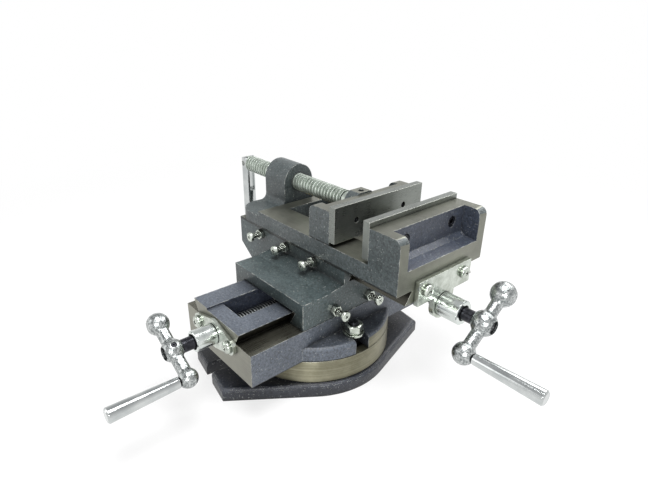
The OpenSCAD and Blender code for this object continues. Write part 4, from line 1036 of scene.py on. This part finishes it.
def hollow_curve(ball_r, steps=6):
    """Points from a ball to the neck: distance from the axis, and from the ball's centre."""
    foot = math.sqrt((ball_r + hollow_r) ** 2 - (neck_r + hollow_r) ** 2)
    steepest = math.atan2(foot, neck_r + hollow_r)
    angles = [steepest * (1 - i / steps) for i in range(steps + 1)]
    return [(neck_r + hollow_r * (1 - math.cos(a)), foot - hollow_r * math.sin(a)) for a in angles]


def neck(near_r, far_r, pitch):
    rise = hollow_curve(near_r)
    fall = [(r, pitch - z) for r, z in reversed(hollow_curve(far_r))]
    return turned("neck", [(0, rise[0][1])] + rise + fall + [(0, fall[-1][1])])


for node, body, axis, outward, hub_r, tip_r in (
        ("front_crank", "front_feed", front_axis, Vector(against_y), front_hub_r, front_tip_r),
        ("right_crank", "right_feed", right_axis, Vector(x_axis), right_hub_r, right_tip_r)):
    lo, hi = box_mm(node)
    inner = hi if outward.y < 0 else lo
    hub = axis + outward * ((inner - axis).dot(outward) + hub_r)
    arm = middle(node.replace("crank", "grip")) - hub
    arm -= outward * arm.dot(outward)
    to_grip = neck(hub_r, tip_r, arm.length)
    to_grip.matrix_world = stands(*hub, arm)
    to_counter = neck(hub_r, hub_r, arm.length)
    to_counter.matrix_world = stands(*hub, -arm)
    hand_over(joined(node + "_necks", [to_grip, to_counter]), cast_chrome, body)

# %% [markdown]
# The light is a plain studio: a broad soft box nearly overhead, so that the vise shades what
# lies under it, one behind for the tops, and weaker ones beside the camera and on the left. The
# world is white near the horizon and grey above, so the chrome has something to reflect besides
# white.

# %% World
def direct_view(tree):
    """Is 1 for rays of the camera, of mirrors and through glass."""
    ray = add(tree, "LightPath").outputs
    seen = add(tree, "Math", {0: ray["Is Camera Ray"], 1: ray["Is Glossy Ray"]},
               operation="MAXIMUM")
    return add(tree, "Math", {0: seen, 1: ray["Is Transmission Ray"]},
               operation="MAXIMUM")


soft_level = 0.28
world = bpy.data.worlds.new("studio")
scene.world = world
world.use_nodes = True
tree = world.node_tree
tree.nodes.clear()
way = add(tree, "TexCoord").outputs["Generated"]
upward = add(tree, "SeparateXYZ", {"Vector": way}).outputs["Z"]
sky = add(tree, "ValToRGB", {"Fac": upward})
set_ramp(sky, [(0.10, (1, 1, 1, 1)), (0.80, (0.56, 0.565, 0.575, 1))])
camera_ray = add(tree, "LightPath").outputs["Is Camera Ray"]
shown = add(tree, "Mix", {"Factor": camera_ray, "A": sky, "B": (1, 1, 1, 1)},
            data_type="RGBA")
level = add(tree, "MapRange", {"Value": direct_view(tree), "To Min": soft_level})
back = add(tree, "Background", {"Color": shown, "Strength": level})
add(tree, "OutputWorld", {"Surface": back})
print("the world lights the vise at", soft_level)

# %% Lamps
def soft_box(name, place, aim, width, height, watts):
    bpy.ops.object.light_add(type="AREA", location=place)
    lamp = bpy.context.object
    lamp.name = name
    lamp.data.shape = "RECTANGLE"
    lamp.data.size = width
    lamp.data.size_y = height
    lamp.data.energy = watts
    lamp.rotation_euler = (Vector(aim) - Vector(place)).to_track_quat("-Z", "Y").to_euler()
    return lamp


lamps = [
    soft_box("box_camera", place=(0.85, -0.75, 0.55), aim=(0.02, 0.02, 0.05),
             width=0.35, height=0.35, watts=7),
    soft_box("box_over", place=(0.2, -0.1, 1.25), aim=(0, 0.02, 0.06),
             width=0.6, height=0.6, watts=15),
    soft_box("box_behind", place=(0.1, 0.85, 0.9), aim=(0, 0.02, 0.08),
             width=0.8, height=0.6, watts=8),
    soft_box("box_left", place=(-0.7, -1.1, 0.6), aim=(0, 0, 0.06),
             width=0.7, height=0.7, watts=2),
]
print("lamps:", [(lamp.name, lamp.data.energy) for lamp in lamps])

# %% [markdown]
# The floor is a pale sheet. To the camera and to mirrors it is mostly its own white, and the
# rest takes the shadow of the vise. The share of its own white grows with the distance, so the
# sheet runs out into the white background without a line.

# %% Floor
bpy.ops.object.select_all(action="DESELECT")
bpy.ops.mesh.primitive_plane_add(size=16, location=(0, 0, -0.0003))
floor = bpy.context.object
floor.name = "floor"
floor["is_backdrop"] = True
finish, tree = new_finish("pale_floor")
place = add(tree, "TexCoord").outputs["Object"]
away = add(tree, "VectorMath", {0: place}, operation="LENGTH")
share = add(tree, "MapRange", {"Value": away, "From Min": 0.2, "From Max": 0.7,
                               "To Min": 0.72, "To Max": 1.0})
own = add(tree, "Math", {0: share, 1: direct_view(tree)}, operation="MULTIPLY")
sheet = add(tree, "BsdfDiffuse", {"Color": colour("#f4f4f4")})
glow = add(tree, "Emission", {"Color": (1, 1, 1, 1), "Strength": 1.0})
both = add(tree, "MixShader", {"Fac": own, 1: sheet, 2: glow})
add(tree, "OutputMaterial", {"Surface": both})
floor.data.materials.append(finish)
print("floor at", round(floor.location.z / MM, 2), "mm")

# %% [markdown]
# Last, the box around the visual model is set beside that of the frame, and its growth is
# printed. Threads and chamfers lie within the plain rods, so it should not have grown.

# %% Sizes and finish
new_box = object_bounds()
growth = (new_box[1] - new_box[0]) - (cad_box[1] - cad_box[0])
print("size grew by", [round(side / MM, 2) for side in growth], "mm")
